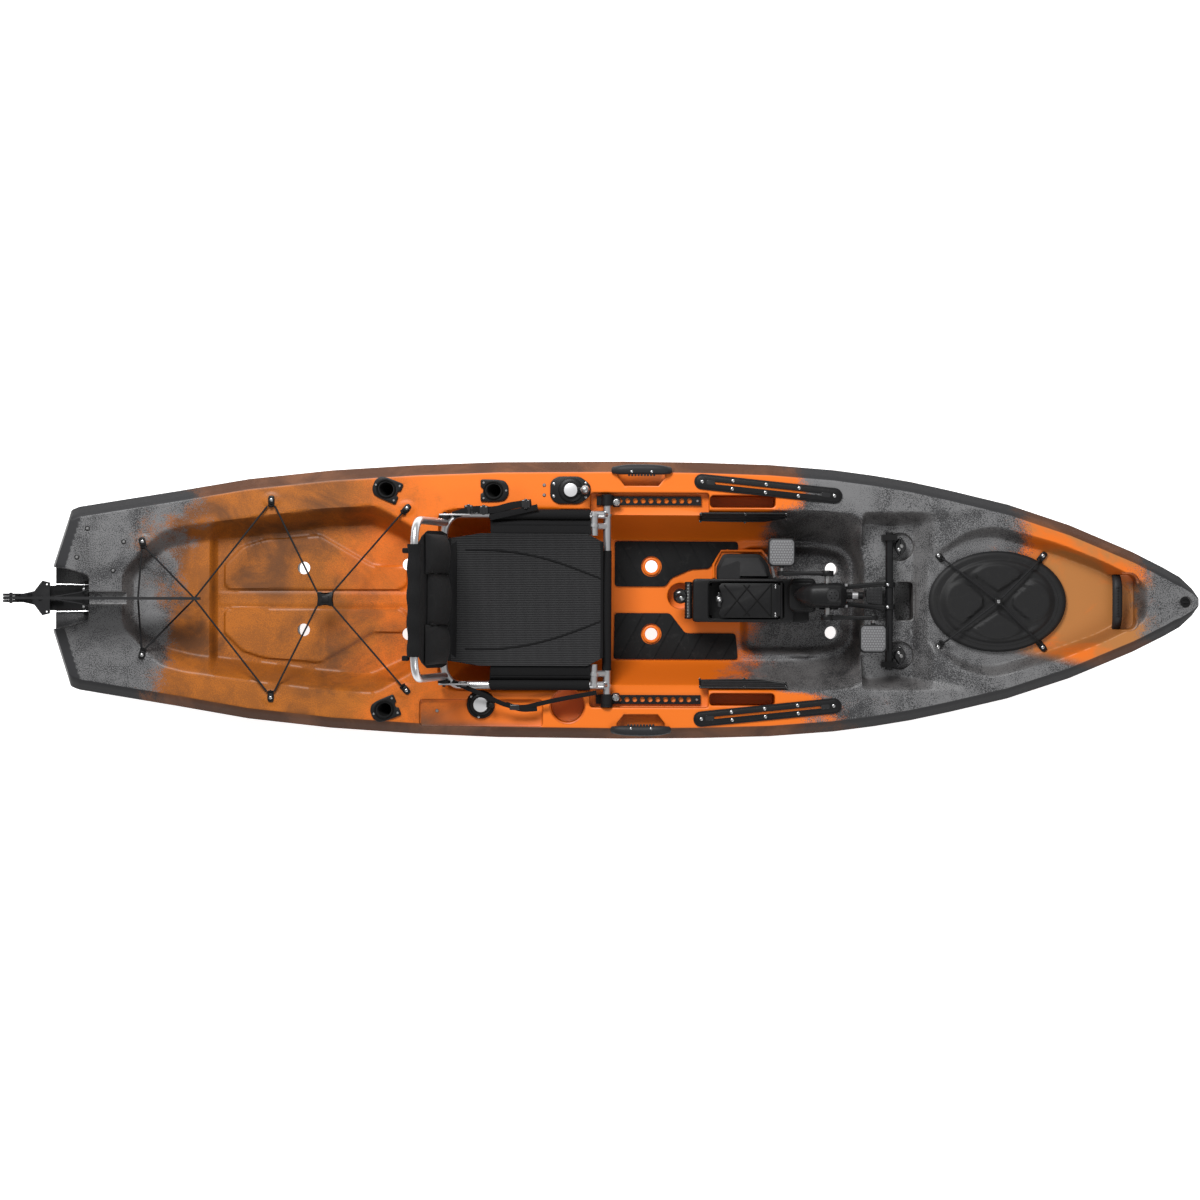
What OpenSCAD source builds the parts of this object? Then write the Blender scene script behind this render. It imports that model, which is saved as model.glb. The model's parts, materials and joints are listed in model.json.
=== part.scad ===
// Sit-on-top fishing kayak with a tilting pedal drive, a sliding frame seat and a flip-up rudder.
// +X runs to the bow, +Y to port and +Z up. The origin is under the seat, on the keel's flat strip.

/* [Hull] */
// Length from the transom to the tip of the bow
hull_l = 3659; // [3500:1:4400]
// Widest beam
beam = 891; // [870:1:1080]
// Height of the gunwale above the keel amidships
deck_h = 330; // [318:1:400]
// Extra height of the gunwale at the bow
bow_rise = 90; // [40:1:130]
// Rise of the keel line at the transom
stern_lift = 70; // [20:1:110]
// Thickness of the moulded wall
wall = 6; // [4:0.5:8]
// Width of the rolled edge outside the deck
edge_w = 36; // [20:1:46]
// Width of the flat keel strip
keel_w = 90; // [50:1:140]

/* [Tank well] */
// Length of the tank well
tank_l = 942; // [700:1:980]
// Half width of the tank well at its widest
tank_half = 302; // [240:1:310]
// Height of the tank well's floor above the keel
tank_floor = 235; // [180:1:255]
// Height of the tank well's aft step above the keel
tank_step = 270; // [258:1:290]

/* [Cockpit] */
// Half width between the gunwales
cockpit_half = 295; // [280:1:296]
// Height of the cockpit floor above the keel
floor_h = 155; // [120:1:185]
// Height of the footwell floor above the keel
foot_h = 110; // [80:1:115]
// Height of the ledges that carry the seat rails
ledge_h = 300; // [280:1:305]
// Height of the drive platform above the keel
platform_h = 262; // [240:1:275]
// Height of the bow recess floor above the keel
recess_h = 306; // [285:1:312]
// Diameter of the scuppers
scupper_d = 40; // [30:1:44]
// Thickness of the foam floor pads
pad_t = 6; // [3:0.5:9]

/* [Fittings] */
// Bore of the rod holders
rod_d = 44; // [38:0.5:46]
// Lean of the rod holder tubes
rod_lean = 22; // [0:1:30]
// Diameter of the cup holder
cup_d = 105; // [80:1:110]
// Depth of the cup holder
cup_deep = 80; // [40:1:100]
// Overall length of the accessory tracks
track_l = 477; // [300:1:500]
// Width of the accessory tracks
track_w = 50; // [36:1:54]
// Length of the side carry handles
grip_l = 185; // [140:1:220]
// Diameter of the shock cords
bungee_d = 6; // [4:0.5:8]
// Length of the bow hatch lid
hatch_l = 442; // [360:1:450]
// Width of the bow hatch lid
hatch_w = 324; // [260:1:330]

/* [Seat] */
// Outer diameter of the seat tubes
tube_d = 25; // [20:0.5:28]
// Half distance between the seat's side tubes
seat_half = 273; // [255:1:276]
// Length of the seat's side tubes
seat_l = 480; // [420:1:500]
// Height of the seat's side tubes above the keel
seat_h = 352; // [345:1:370]
// Length of the backrest frame
back_l = 430; // [340:1:460]
// Lean of the backrest from upright
back_lean = 11; // [0:1:20]
// Distance between the holes of the seat rails
rail_pitch = 24.8; // [20:0.1:30]
// Number of holes that the seat can slide over
slide_holes = 7; // [3:1:7]

/* [Pedal drive] */
// Distance of the drive's centre plane to port
drive_y = 17; // [0:1:20]
// Diameter of the cross bar that carries the drive
bar_d = 25; // [20:0.5:30]
// Height of the cross bar's axis
bar_h = 290; // [284:1:300]
// Height of the crank axis
crank_h = 400; // [385:1:430]
// Length of the crank arms
crank_r = 146; // [120:1:150]
// Half distance between the pedals' centres
pedal_half = 137; // [130:1:150]
// Depth of the propeller shaft below the keel
prop_deep = 220; // [150:1:230]
// Radius of the propeller
prop_r = 110; // [80:1:112]

/* [Rudder] */
// Length of the rudder blade
blade_l = 600; // [450:1:640]
// Depth of the rudder blade
blade_w = 130; // [90:1:140]
// Thickness of the rudder blade
blade_t = 9; // [6:0.5:12]

/* [Hidden] */
$fn = 32;

bow_x = hull_l * 0.52;
stern_x = bow_x - hull_l;
deck_top = deck_h + 200;
run_gap = 0.05;

// Half breadth at the gunwale, as a share of half the beam, against the distance from amidships
PLAN = [[-1, 0.24], [-0.969, 0.637], [-0.955, 0.66], [-0.783, 0.775], [-0.657, 0.864],
    [-0.511, 0.929], [-0.365, 0.968], [-0.219, 0.992], [0, 1], [0.134, 0.994], [0.257, 0.979],
    [0.37, 0.943], [0.44, 0.905], [0.505, 0.86], [0.573, 0.799], [0.674, 0.698],
    [0.781, 0.55], [0.889, 0.359], [0.943, 0.245], [0.97, 0.18], [0.99, 0.095], [1, 0.03]];
// Rise of the keel line as a share of the deck height, and of the gunwale as a share of its rise
KEEL = [[-1, 1], [-0.9, 0.2], [-0.75, 0], [0.6, 0], [0.78, 0.08], [0.88, 0.28], [0.943, 0.52],
    [0.97, 0.68], [0.99, 0.86], [1, 0.98]];
SHEER = [[-1, 0], [0.44, 0], [0.573, 0.12], [0.674, 0.3], [0.781, 0.5], [0.889, 0.76], [1, 1]];

function lerp(a, b, t) = a + (b - a) * t;
function share(x) = x < 0 ? -x / stern_x : x / bow_x;
function half_at(x) = beam / 2 * lookup(share(x), PLAN);
function sheer_at(x) = deck_h + bow_rise * lookup(share(x), SHEER);
function keel_at(x) = lookup(share(x), KEEL) * (x < 0 ? stern_lift : deck_h);
function edge_at(x) = min(edge_w, half_at(x) * 0.4);

// One cross section, from the keel up one side, over the deck and down the other, inset by t
function section(x, t) =
    let (b = max(half_at(x) - t, 3), zk = keel_at(x) + t, zs = sheer_at(x) - t,
         e = min(edge_at(x), b * 0.4), kw = min(keel_w / 2, b * 0.3), h = max(zs - 0.9 * e - zk, 6))
    let (side = [[kw, zk], [b * 0.62, zk + h * 0.13], [b * 0.87, zk + h * 0.34],
                 [b * 0.975, zk + h * 0.66], [b, zk + h], [b - e, zs]])
    concat([for (p = side) [x, p[0], p[1]]], [for (i = [5:-1:0]) [x, -side[i][0], side[i][1]]]);

// Closed solid through rings of equal length, with triangles between the rings
module skin(rings) {
    n = len(rings[0]);
    last = len(rings) - 1;
    polyhedron(
        points = [for (r = rings) each r],
        faces = concat(
            [for (i = [0:last - 1], j = [0:n - 1])
                each [[i * n + j, (i + 1) * n + j, (i + 1) * n + (j + 1) % n],
                      [i * n + j, (i + 1) * n + (j + 1) % n, i * n + (j + 1) % n]]],
            [[for (j = [0:n - 1]) j]],
            [[for (j = [n - 1:-1:0]) last * n + j]]));
}

module loft(t) {
    xs = [for (row = PLAN) row[0] < 0 ? -row[0] * stern_x : row[0] * bow_x];
    last = len(xs) - 1;
    skin([for (i = [0:last]) section(i == 0 ? xs[0] + t : i == last ? xs[last] - t : xs[i], t)]);
}

// Mirror a half outline, given from aft to forward at +Y, into a closed one
function both(half) = concat(half, [for (i = [len(half) - 1:-1:0]) [half[i][0], -half[i][1]]]);
function toward(p, c, g) =
    let (d = [p[0] - c[0], p[1] - c[1]]) [p[0] + g * sign(d[0]), p[1] + g * sign(d[1])];
function middle(pts) = [(min([for (p = pts) p[0]]) + max([for (p = pts) p[0]])) / 2,
                        (min([for (p = pts) p[1]]) + max([for (p = pts) p[1]])) / 2];
function grown(pts, g) = let (c = middle(pts)) [for (p = pts) toward(p, c, g)];

// Recess with a flat floor, walls that slope out to its rim, and a mouth above the deck
module pocket(rim, base, z0, z1, g = 0) {
    r = grown(rim, g);
    b = grown(base, g);
    skin([[for (p = r) [p[0], p[1], deck_top]], [for (p = r) [p[0], p[1], z1]],
          [for (p = b) [p[0], p[1], z0 - g]]]);
}

module block(lo, hi) {
    translate(lo) cube([hi[0] - lo[0], hi[1] - lo[1], hi[2] - lo[2]]);
}
// Round bar from a to b
module rod(a, b, d, fn = 24) {
    v = b - a;
    translate(a) rotate([0, acos(v[2] / norm(v)), atan2(v[1], v[0])])
        cylinder(h = norm(v), d = d, $fn = fn);
}
// Round tube swept along points; up is any direction the tube never runs along
function ring_at(pts, i, r, sides, up) =
    let (a = pts[max(i - 1, 0)], b = pts[min(i + 1, len(pts) - 1)], t = (b - a) / norm(b - a),
         s = cross(t, up) / norm(cross(t, up)), u = cross(s, t))
    [for (k = [0:sides - 1]) pts[i] + r * (cos(360 * k / sides) * s + sin(360 * k / sides) * u)];
module cord(pts, d, sides = 8, up = [0, 0, 1]) {
    skin([for (i = [len(pts) - 1:-1:0]) ring_at(pts, i, d / 2, sides, up)]);
}
module sides_too() {
    children();
    mirror([0, 1, 0]) children();
}
module plate(pts, z0, z1) {
    translate([0, 0, z0]) linear_extrude(z1 - z0) polygon(pts);
}
module capsule(l, w, h, fn = 32) {
    linear_extrude(h) {
        square([l - w, w], center = true);
        for (s = [-1, 1]) translate([s * (l - w) / 2, 0]) circle(d = w, $fn = fn);
    }
}
module rounded(l, w, r, h) {
    linear_extrude(h) {
        square([l, w - 2 * r], center = true);
        square([l - 2 * r, w], center = true);
        for (x = [-1, 1], y = [-1, 1]) translate([x * (l / 2 - r), y * (w / 2 - r)]) circle(r);
    }
}

// ---- places that several pieces share
tank_x1 = -590;
tank_x0 = tank_x1 - tank_l;
tank_step_x = tank_x0 + 276;
cock_x0 = -520;
rail_y = cockpit_half + 24;
rail_x0 = -12;
rail_x1 = 324;
rail_t = 8;
rail_w = 29;
pocket_x0 = 349;
pocket_x1 = 561;
bar_x = 930;
bar_half = 221;
clamp_x = 966;
clamp_y = 175;
slot_x0 = 236;
slot_x1 = 762;
slot_half = 50;
crank_x = 724;
notch_x1 = stern_x + 116;
notch_z = deck_h - 78;
hatch_x = bow_x - 628;
handle_x = bow_x - 250;
handle_half = 88;
cup_x = -103;
cup_y = half_at(cup_x) - 104;
track_x = 538;
track_y = half_at(track_x) - 74;
track_turn = -5.9;
dial_x = -95;
dial_y = half_at(dial_x) - 93;
lift_x = -381;
lift_y = half_at(lift_x) - 105;
lift_r = 45;
plug_x = bow_x - 41;
grip_x = 132;
grip_y = half_at(grip_x) - 42;
rods = [[-684, half_at(-684) - 76, -22, 1], [-340, half_at(-340) - 93, 180, 1],
        [-688, half_at(-688) - 75, -22, -1]];
scuppers = [[-957, 100], [-618, 112], [167, 110], [756, 104]];
eyes = [[tank_x0 + 66, 178], [-1054, half_at(-1054) - 100], [-622, 289],
        [bow_x - 814, 144], [bow_x - 483, 144]];
rudder_x = stern_x - 42;
blade_x = rudder_x - 74;
blade_z = sheer_at(stern_x) + 24 + blade_w / 2;
prop_x = 612;

tank_rim = both([[tank_x0, 90], [tank_x0 + 61, 0.52 * tank_half], [tank_x0 + 119, 0.71 * tank_half],
    [tank_x0 + 199, 0.78 * tank_half], [tank_x0 + 490, 0.9 * tank_half],
    [tank_x1 - 307, 0.957 * tank_half], [tank_x1 - 131, tank_half], [tank_x1, 228]]);
tank_base = both([[tank_x0 + 30, 66], [tank_x0 + 82, 0.4 * tank_half],
    [tank_x0 + 135, 0.53 * tank_half], [tank_x0 + 225, 0.6 * tank_half],
    [tank_x0 + 492, 0.7 * tank_half], [tank_x1 - 310, 0.76 * tank_half],
    [tank_x1 - 147, 0.8 * tank_half], [tank_x1 - 14, 180]]);
floor_base = both([[tank_step_x, 0.56 * tank_half], [tank_x0 + 492, 0.66 * tank_half],
    [tank_x1 - 310, 0.72 * tank_half], [tank_x1 - 150, 0.76 * tank_half], [tank_x1 - 20, 170]]);
cock_rim = both([[cock_x0, 262], [cock_x0 + 20, cockpit_half - 10], [cock_x0 + 80, cockpit_half],
    [560, cockpit_half - 3], [700, cockpit_half - 10], [805, cockpit_half - 14],
    [845, 255], [862, 200], [866, 150]]);
cock_base = both([[cock_x0 + 38, 140], [cock_x0 + 48, 175], [cock_x0 + 90, 195],
    [560, 195], [700, 190], [785, 170], [812, 150], [825, 120], [828, 90]]);
foot_base = both([[470, 165], [700, 165], [770, 150], [800, 120]]);
platform_rim = both([[838, cockpit_half - 5], [960, cockpit_half - 4], [bow_x - 694.7, 288]]);
platform_base = both([[838, cockpit_half - 40], [960, 240], [bow_x - 852.7, 200]]);
recess_rim = both([[bow_x - 906, 104], [bow_x - 824, 161], [bow_x - 727, 231],
    [bow_x - 640, 244], [bow_x - 429, 181], [bow_x - 294, 127], [bow_x - 156, 56]]);
recess_base = both([[bow_x - 880, 92], [bow_x - 800, 150], [bow_x - 725, 200],
    [bow_x - 640, 206], [bow_x - 440, 150], [bow_x - 300, 100], [bow_x - 200, 40]]);

// Inner face of the cockpit wall at height z
function wall_y(z) = 195 + (cockpit_half - 7 - 195) * (z - floor_h) / (deck_h - floor_h);

// ---- hull

// Everything that is pressed into the deck, grown by g where it bounds the space inside
module recesses(g = 0) {
    pocket(tank_rim, tank_base, tank_step, deck_h, g);
    pocket(floor_base, floor_base, tank_floor, deck_h, g);
    pocket(cock_rim, cock_base, floor_h, deck_h, g);
    pocket(foot_base, foot_base, foot_h, deck_h, g);
    pocket(platform_rim, platform_base, platform_h, deck_h, g);
    pocket(recess_rim, recess_base, recess_h, sheer_at(hatch_x), g);
    // ledges for the seat rails, side pockets ahead of them and the grip recesses
    sides_too() {
        block([rail_x0 - 20 - g, cockpit_half - 12, ledge_h - g],
              [pocket_x0 + g, rail_y + 25 + g, deck_top]);
        block([pocket_x0 - g, cockpit_half + 2 - g, ledge_h - 90 - g],
              [pocket_x1 + g, rail_y + 18 + g, deck_top]);
        block([grip_x - 76 - g, grip_y - 30 - g, deck_h - 38 - g],
              [grip_x + 76 + g, grip_y + 28, deck_top]);
    }
    // well that the drive passes through, and the round recess behind it
    block([slot_x0 - g, drive_y - slot_half - g, -prop_deep],
          [slot_x1 + g, drive_y + slot_half + g, deck_top]);
    // well ahead of the cross bar, and the bowls under its clamp knobs
    block([bar_x + 22 - g, -61 - g, 150 - g], [bar_x + 80 + g, 61 + g, deck_top]);
    sides_too() translate([clamp_x, clamp_y, platform_h - 14 - g])
        cylinder(h = deck_top, r = 45 + g);
    // stern notch, blade groove, hand well at the bow and the tray
    block([stern_x - 100, -74 - g, notch_z - g], [notch_x1 + g, 74 + g, deck_top]);
    block([notch_x1 - 5, -19 - g, deck_h - 22 - g], [tank_x0 + 30, 19 + g, deck_top]);
    block([handle_x - 60 - g, -handle_half - g, recess_h + 4 - g],
          [handle_x + 60 + g, handle_half + g, deck_top]);
    block([-577 - g, -half_at(-400) + 33 - g, deck_h - 14 - g],
          [-183 + g, -cockpit_half - 26 + g, deck_top]);
    translate([cup_x, -cup_y, deck_h - cup_deep - g]) cylinder(h = deck_top, d = cup_d + 2 * g);
    translate([lift_x, -lift_y, deck_h - 14 - g]) cylinder(h = deck_top, r = lift_r + 2 + g);
    translate([plug_x, 0, sheer_at(plug_x) - 6 - g]) cylinder(h = deck_top, r = 18 + g);
    for (p = rods) rod_place(p) cylinder(h = 400, d = rod_d + 8 + 2 * g, center = true);
    for (p = scuppers) sides_too() translate([p[0], p[1], -50])
        cylinder(h = deck_top, d = scupper_d + 2 * g);
}

module hull() {
    color("darkorange") difference() {
        loft(0);
        recesses();
        difference() {
            loft(wall);
            recesses(wall);
        }
        oval(hatch_l - 100, hatch_w - 100, 60, recess_h - 40);
    }
}

module scupper_collars() {
    color("orange") sides_too() translate([scuppers[2][0], scuppers[2][1], floor_h + 0.2])
        difference() {
            cylinder(h = pad_t, d = scupper_d + 16);
            translate([0, 0, -1]) cylinder(h = pad_t + 2, d = scupper_d);
        }
}

module foam_pad(outline) {
    difference() {
        plate(outline, floor_h + 0.2, floor_h + 0.2 + pad_t);
        translate([scuppers[2][0], scuppers[2][1] * sign(outline[0][1]), floor_h - 1])
            cylinder(h = pad_t + 4, d = scupper_d + 26);
    }
}
module foam_pad_port() {
    color("dimgray") foam_pad([[48, 192], [449, 191], [449, 160], [390, 159], [356, 104], [296, 101],
        [231, 76], [231, 72], [214, 45], [48, 44]]);
}
module foam_pad_starboard() {
    color("dimgray") foam_pad([[48, -42], [228, -42], [228, -80], [442, -108], [449, -192], [45, -192]]);
}

// ---- deck fittings

module rod_place(p) {
    translate([p[0], p[1] * p[3], deck_h]) mirror([0, p[3] < 0 ? 1 : 0, 0])
        rotate([0, 0, p[2]]) rotate([0, -rod_lean * (p[2] > 90 ? -1 : 1), 0]) children();
}
module rod_holder(p) {
    color("black") difference() {
        union() {
            translate([p[0], p[1] * p[3], deck_h + 0.2]) mirror([0, p[3] < 0 ? 1 : 0, 0])
                rotate([0, 0, p[2]]) linear_extrude(5) {
                    translate([-14, 0]) circle(34);
                    translate([22, 0]) square([44, 72], center = true);
                }
            intersection() {
                rod_place(p) translate([0, 0, -160]) cylinder(h = 200, d = rod_d + 6);
                block([-1000, -500, 0], [0, 500, deck_h + 3]);
            }
        }
        rod_place(p) translate([0, 0, -154]) cylinder(h = 300, d = rod_d, $fn = 48);
    }
}
module rod_holder_aft_port() rod_holder(rods[0]);
module rod_holder_mid_port() rod_holder(rods[1]);
module rod_holder_aft_starboard() rod_holder(rods[2]);

module track() {
    color("dimgray") translate([track_x, track_y, deck_h + 0.2]) rotate([0, 0, track_turn])
        difference() {
            capsule(track_l, track_w, 7);
            translate([0, 0, 3]) capsule(track_l - 64, 8, 6);
            translate([0, 0, 1]) capsule(track_l - 68, 15, 3);
        }
}
module track_port() track();
module track_starboard() mirror([0, 1, 0]) track();

track_screws = [[-0.5, 0], [-0.27, 11], [-0.27, -11], [-0.02, 11], [-0.02, -11],
    [0.23, 11], [0.23, -11], [0.5, 0]];
module screw(z, d = 8) {
    translate([0, 0, z]) cylinder(h = 2.4, d1 = d, d2 = d * 0.6, $fn = 16);
}
module deck_screws() {
    color("silver") {
        sides_too() translate([track_x, track_y]) rotate([0, 0, track_turn])
            for (s = track_screws) translate([s[0] * (track_l - track_w), s[1] * track_w / 50])
                screw(deck_h + 7.4);
        // threaded inserts in the stern deck, and rivets by the dials
        translate([stern_x + 154, 156]) rotate([0, 0, -20])
            for (x = [-62, 62], y = [-49, 49]) translate([x, y]) screw(deck_h + 0.2);
        for (y = [8, -24]) translate([dial_x - 85, dial_y + y + 8]) screw(deck_h + 0.2, 9);
        translate([-522, -half_at(-522) + 81]) screw(deck_h - 13.8, 12);
        for (p = rods) translate([p[0], p[1] * p[3]]) mirror([0, p[3] < 0 ? 1 : 0, 0])
            rotate([0, 0, p[2]]) for (s = [[-40, 0], [36, 27], [36, -27]])
                translate(s) screw(deck_h + 5.4, 7);
    }
}

module grip() {
    color("dimgray") translate([grip_x, grip_y + 16, deck_h]) difference() {
        union() {
            translate([0, 0, 2]) capsule(grip_l - 24, 26, 14);
            for (s = [-1, 1]) translate([s * (grip_l / 2 - 8), 0, 0.2])
                cylinder(h = 12, d = 24);
        }
        translate([0, -14, -1]) capsule(grip_l - 80, 12, 20);
    }
}
module grip_port() grip();
module grip_starboard() mirror([0, 1, 0]) grip();

module bow_handle() {
    color("dimgray") {
        z = recess_h + 4.2;
        sides_too() translate([handle_x + 2, handle_half - 14, z]) cylinder(h = 46, d = 24);
        translate([handle_x + 2, 0, z + 40]) rotate([90, 0, 0])
            cylinder(h = 2 * handle_half - 6, d = 30, center = true);
    }
}

module seat_rail() {
    color("black") difference() {
        block([rail_x0, rail_y - rail_w / 2, ledge_h + 0.2],
              [rail_x1, rail_y + rail_w / 2, ledge_h + rail_t]);
        for (i = [0:11]) translate([rail_x1 - 38 - i * rail_pitch, rail_y, ledge_h - 1])
            cylinder(h = rail_t + 3, d = 16);
    }
}
module seat_rail_port() seat_rail();
module seat_rail_starboard() mirror([0, 1, 0]) seat_rail();

module pocket_net() {
    top = deck_h - 4;
    low = deck_h - 46;
    color("black") translate([pocket_x0 - 28, 0, 0]) rotate([90, 0, 90])
        linear_extrude(pocket_x1 - pocket_x0 + 40)
            polygon([[wall_y(low) - 1, low], [wall_y(top) - 1, top], [wall_y(top) - 5, top],
                     [wall_y(low) - 5, low]]);
}
module pocket_net_port() pocket_net();
module pocket_net_starboard() mirror([0, 1, 0]) pocket_net();

module pad_eye(z) {
    difference() {
        union() {
            translate([0, 0, z]) capsule(34, 20, 5);
            translate([-4, 0, z]) cylinder(h = 12, d = 16);
        }
        translate([-4, 0, z + 7]) rotate([90, 0, 0]) cylinder(h = 40, d = bungee_d + 2, center = true);
    }
}
module pad_eyes() {
    color("black") for (e = eyes)
        sides_too() translate([e[0], e[1]]) rotate([0, 0, 60])
            pad_eye((e[0] > 1000 ? recess_h : deck_h) + 0.2);
}

// ---- shock cords, laid by hand from eye to eye
eye_a = eyes[0];
eye_b = eyes[1];
eye_c = eyes[2];
cord_z = deck_h + 8;
clip_x = -880;
module tank_bungee_aft() {
    color("black") {
        sides_too() cord([[eye_a[0] + 6, eye_a[1] - 14, cord_z], [eye_a[0] + 80, 90, cord_z - 2],
            [eye_a[0] + 164, 8, cord_z - 3], [eye_a[0] + 290, 140, cord_z - 2],
            [eye_b[0] - 14, eye_b[1] - 14, cord_z]], bungee_d);
        sides_too() cord([[eye_a[0] - 8, eye_a[1] - 22, cord_z], [eye_a[0] - 13, 80, cord_z - 3],
            [eye_a[0] - 10, 4, cord_z - 4]], bungee_d);
    }
}
module tank_bungee_front() {
    color("black") sides_too()
        for (p = [[eye_b[0] + 14, eye_b[1] - 14], [eye_c[0] - 14, eye_c[1] - 12]])
            cord([[p[0], p[1], cord_z], [clip_x + (p[0] > clip_x ? 22 : -22), 20, cord_z - 2]],
                 bungee_d);
}
module bungee_clip() {
    color("black") difference() {
        translate([clip_x, 0, cord_z - 8]) rounded(50, 46, 8, 12);
        translate([clip_x, 0, cord_z - 10]) cylinder(h = 20, d = 14);
    }
}
module hatch_bungee() {
    color("black") for (e = [eyes[3], eyes[4]]) sides_too()
        cord([for (p = [[0.04, 20], [0.1, 32], [0.24, 39], [0.6, 41], [0.97, 42]])
              [lerp(e[0], hatch_x, p[0]), lerp(e[1], 0, p[0]), recess_h + p[1]]], bungee_d);
}

// ---- bow hatch
module oval(l, w, h, z) {
    translate([hatch_x, 0, z]) linear_extrude(h)
        polygon([for (a = [0:7.5:359]) [l / 2 * cos(a), w / 2 * sin(a)]]);
}
module hatch_seal() {
    color("black") difference() {
        oval(hatch_l - 16, hatch_w - 16, 12, recess_h + 0.2);
        oval(hatch_l - 50, hatch_w - 50, 40, recess_h - 10);
    }
}
module hatch_lid() {
    color("dimgray") difference() {
        union() {
            oval(hatch_l, hatch_w, 14, recess_h + 12.6);
            oval(hatch_l - 60, hatch_w - 60, 20, recess_h + 14);
        }
        oval(hatch_l - 20, hatch_w - 20, 8, recess_h + 12);
        oval(hatch_l - 76, hatch_w - 76, 16, recess_h + 12);
    }
}
module drain_plug() {
    color("black") translate([plug_x, 0, sheer_at(plug_x) - 5.7]) {
        cylinder(h = 4, d = 30);
        translate([0, 0, 3]) rounded(22, 6, 2.5, 5);
    }
}

// ---- cross bar and its clamps
module cross_bar() {
    color("black") translate([bar_x, 0, bar_h]) rotate([90, 0, 0])
        cylinder(h = 2 * bar_half, d = bar_d, center = true, $fn = 48);
}
module bar_saddles() {
    color("black") sides_too() difference() {
        block([bar_x - 24, bar_half - 26, platform_h + 0.2],
              [bar_x + 24, bar_half - 8, bar_h + bar_d / 2 + 8]);
        translate([bar_x, 0, bar_h]) rotate([90, 0, 0])
            cylinder(h = 3 * bar_half, d = bar_d + 0.04, center = true, $fn = 48);
    }
}
module clamp_knob() {
    color("black") translate([clamp_x, clamp_y, platform_h - 13.6]) {
        cylinder(h = 12, d = 36);
        translate([0, 0, 10]) cylinder(h = 24, d = 40);
        translate([0, 0, 32]) rounded(36, 16, 7, 10);
    }
}
module clamp_knob_port() clamp_knob();
module clamp_knob_starboard() mirror([0, 1, 0]) clamp_knob();

// ---- steering and rudder lift controls
module steering_base() {
    color("black") translate([dial_x, dial_y, deck_h + 0.2]) difference() {
        union() {
            rounded(124, 84, 26, 6);
            cylinder(h = 16, r = 36);
        }
        translate([0, 0, -1]) cylinder(h = 30, r = 6 + run_gap);
    }
}
module steering_arm() {
    color("dimgray") translate([dial_x, dial_y, deck_h + 0.2]) {
        translate([0, 0, 1]) cylinder(h = 18, r = 6);
        translate([0, 0, 16.6]) cylinder(h = 6, r = 24);
        translate([0, -9, 17]) cube([58, 18, 7]);
        translate([46, 0, 17]) cylinder(h = 16, r = 15);
    }
}
module steering_knob() {
    color("silver") translate([dial_x + 46, dial_y, deck_h + 33.6]) {
        cylinder(h = 10, r = 5);
        translate([0, 0, 20]) sphere(r = 14);
    }
}
module lift_dial_base() {
    color("black") translate([lift_x, -lift_y, deck_h - 13.8]) difference() {
        union() {
            cylinder(h = 8, r = lift_r);
            cylinder(h = 20, r = 34);
        }
        translate([0, 0, -1]) cylinder(h = 40, r = 6 + run_gap);
    }
}
module lift_dial() {
    color("dimgray") translate([lift_x, -lift_y, deck_h - 13.8]) {
        translate([0, 0, 1]) cylinder(h = 24, r = 6);
        translate([0, 0, 20.6]) cylinder(h = 8, r = 24);
        translate([0, -7, 21]) cube([40, 14, 9]);
        translate([36, 0, 21]) cylinder(h = 22, r = 9);
    }
}

// ---- rudder: bracket on the stern, yawing head and the blade that flips over it
module rudder_bracket() {
    color("black") difference() {
        union() {
            block([rudder_x - 4, -40, notch_z + 0.2], [notch_x1 - 12, 40, notch_z + 10]);
            translate([rudder_x, 0, notch_z + 0.2]) cylinder(h = 40, r = 16);
            block([rudder_x, -9, notch_z + 5], [rudder_x + 70, 9, notch_z + 34]);
        }
        translate([rudder_x, 0, notch_z - 10]) cylinder(h = 80, r = 6 + run_gap, $fn = 48);
    }
}
module rudder_head() {
    z = notch_z + 41;
    color("black") difference() {
        union() {
            translate([rudder_x, 0, notch_z - 6]) cylinder(h = 60, r = 6, $fn = 48);
            plate([[blade_x - 8, -8], [rudder_x - 20, -22], [rudder_x + 6, -56],
                   [rudder_x + 30, -50], [rudder_x + 30, 50], [rudder_x + 6, 56],
                   [rudder_x - 20, 22], [blade_x - 8, 8]], z, z + 8);
            for (s = [-1, 1]) {
                block([blade_x - 26, s * 10 - 4, z], [rudder_x - 26, s * 10 + 4, blade_z - 20]);
                translate([blade_x, s * 10, blade_z]) rotate([90, 0, 0])
                    cylinder(h = 8, r = 26, center = true);
                block([blade_x - 26, s * 10 - 4, blade_z - 22], [blade_x + 26, s * 10 + 4, blade_z]);
            }
            translate([blade_x, 0, blade_z]) rotate([90, 0, 0])
                cylinder(h = 34, r = 5, center = true, $fn = 48);
        }
        for (s = [-1, 1]) translate([rudder_x + 20, s * 44, z - 5]) cylinder(h = 20, r = 3);
    }
}
module rudder_blade() {
    color("black") translate([blade_x, 0, blade_z]) difference() {
        union() {
            rotate([90, 0, 0]) linear_extrude(blade_t, center = true)
                polygon([[-22, -18], [60, -20], [150, -blade_w / 2], [blade_l * 0.8, -blade_w / 2],
                         [blade_l - 30, -blade_w * 0.4], [blade_l, -blade_w * 0.2],
                         [blade_l, blade_w * 0.05], [blade_l - 60, blade_w * 0.3],
                         [blade_l * 0.6, blade_w / 2], [150, blade_w / 2], [50, 26], [-22, 20]]);
            rotate([90, 0, 0]) cylinder(h = 11, r = 22, center = true);
        }
        rotate([90, 0, 0]) cylinder(h = 50, r = 5 + run_gap, center = true, $fn = 48);
    }
}
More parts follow.
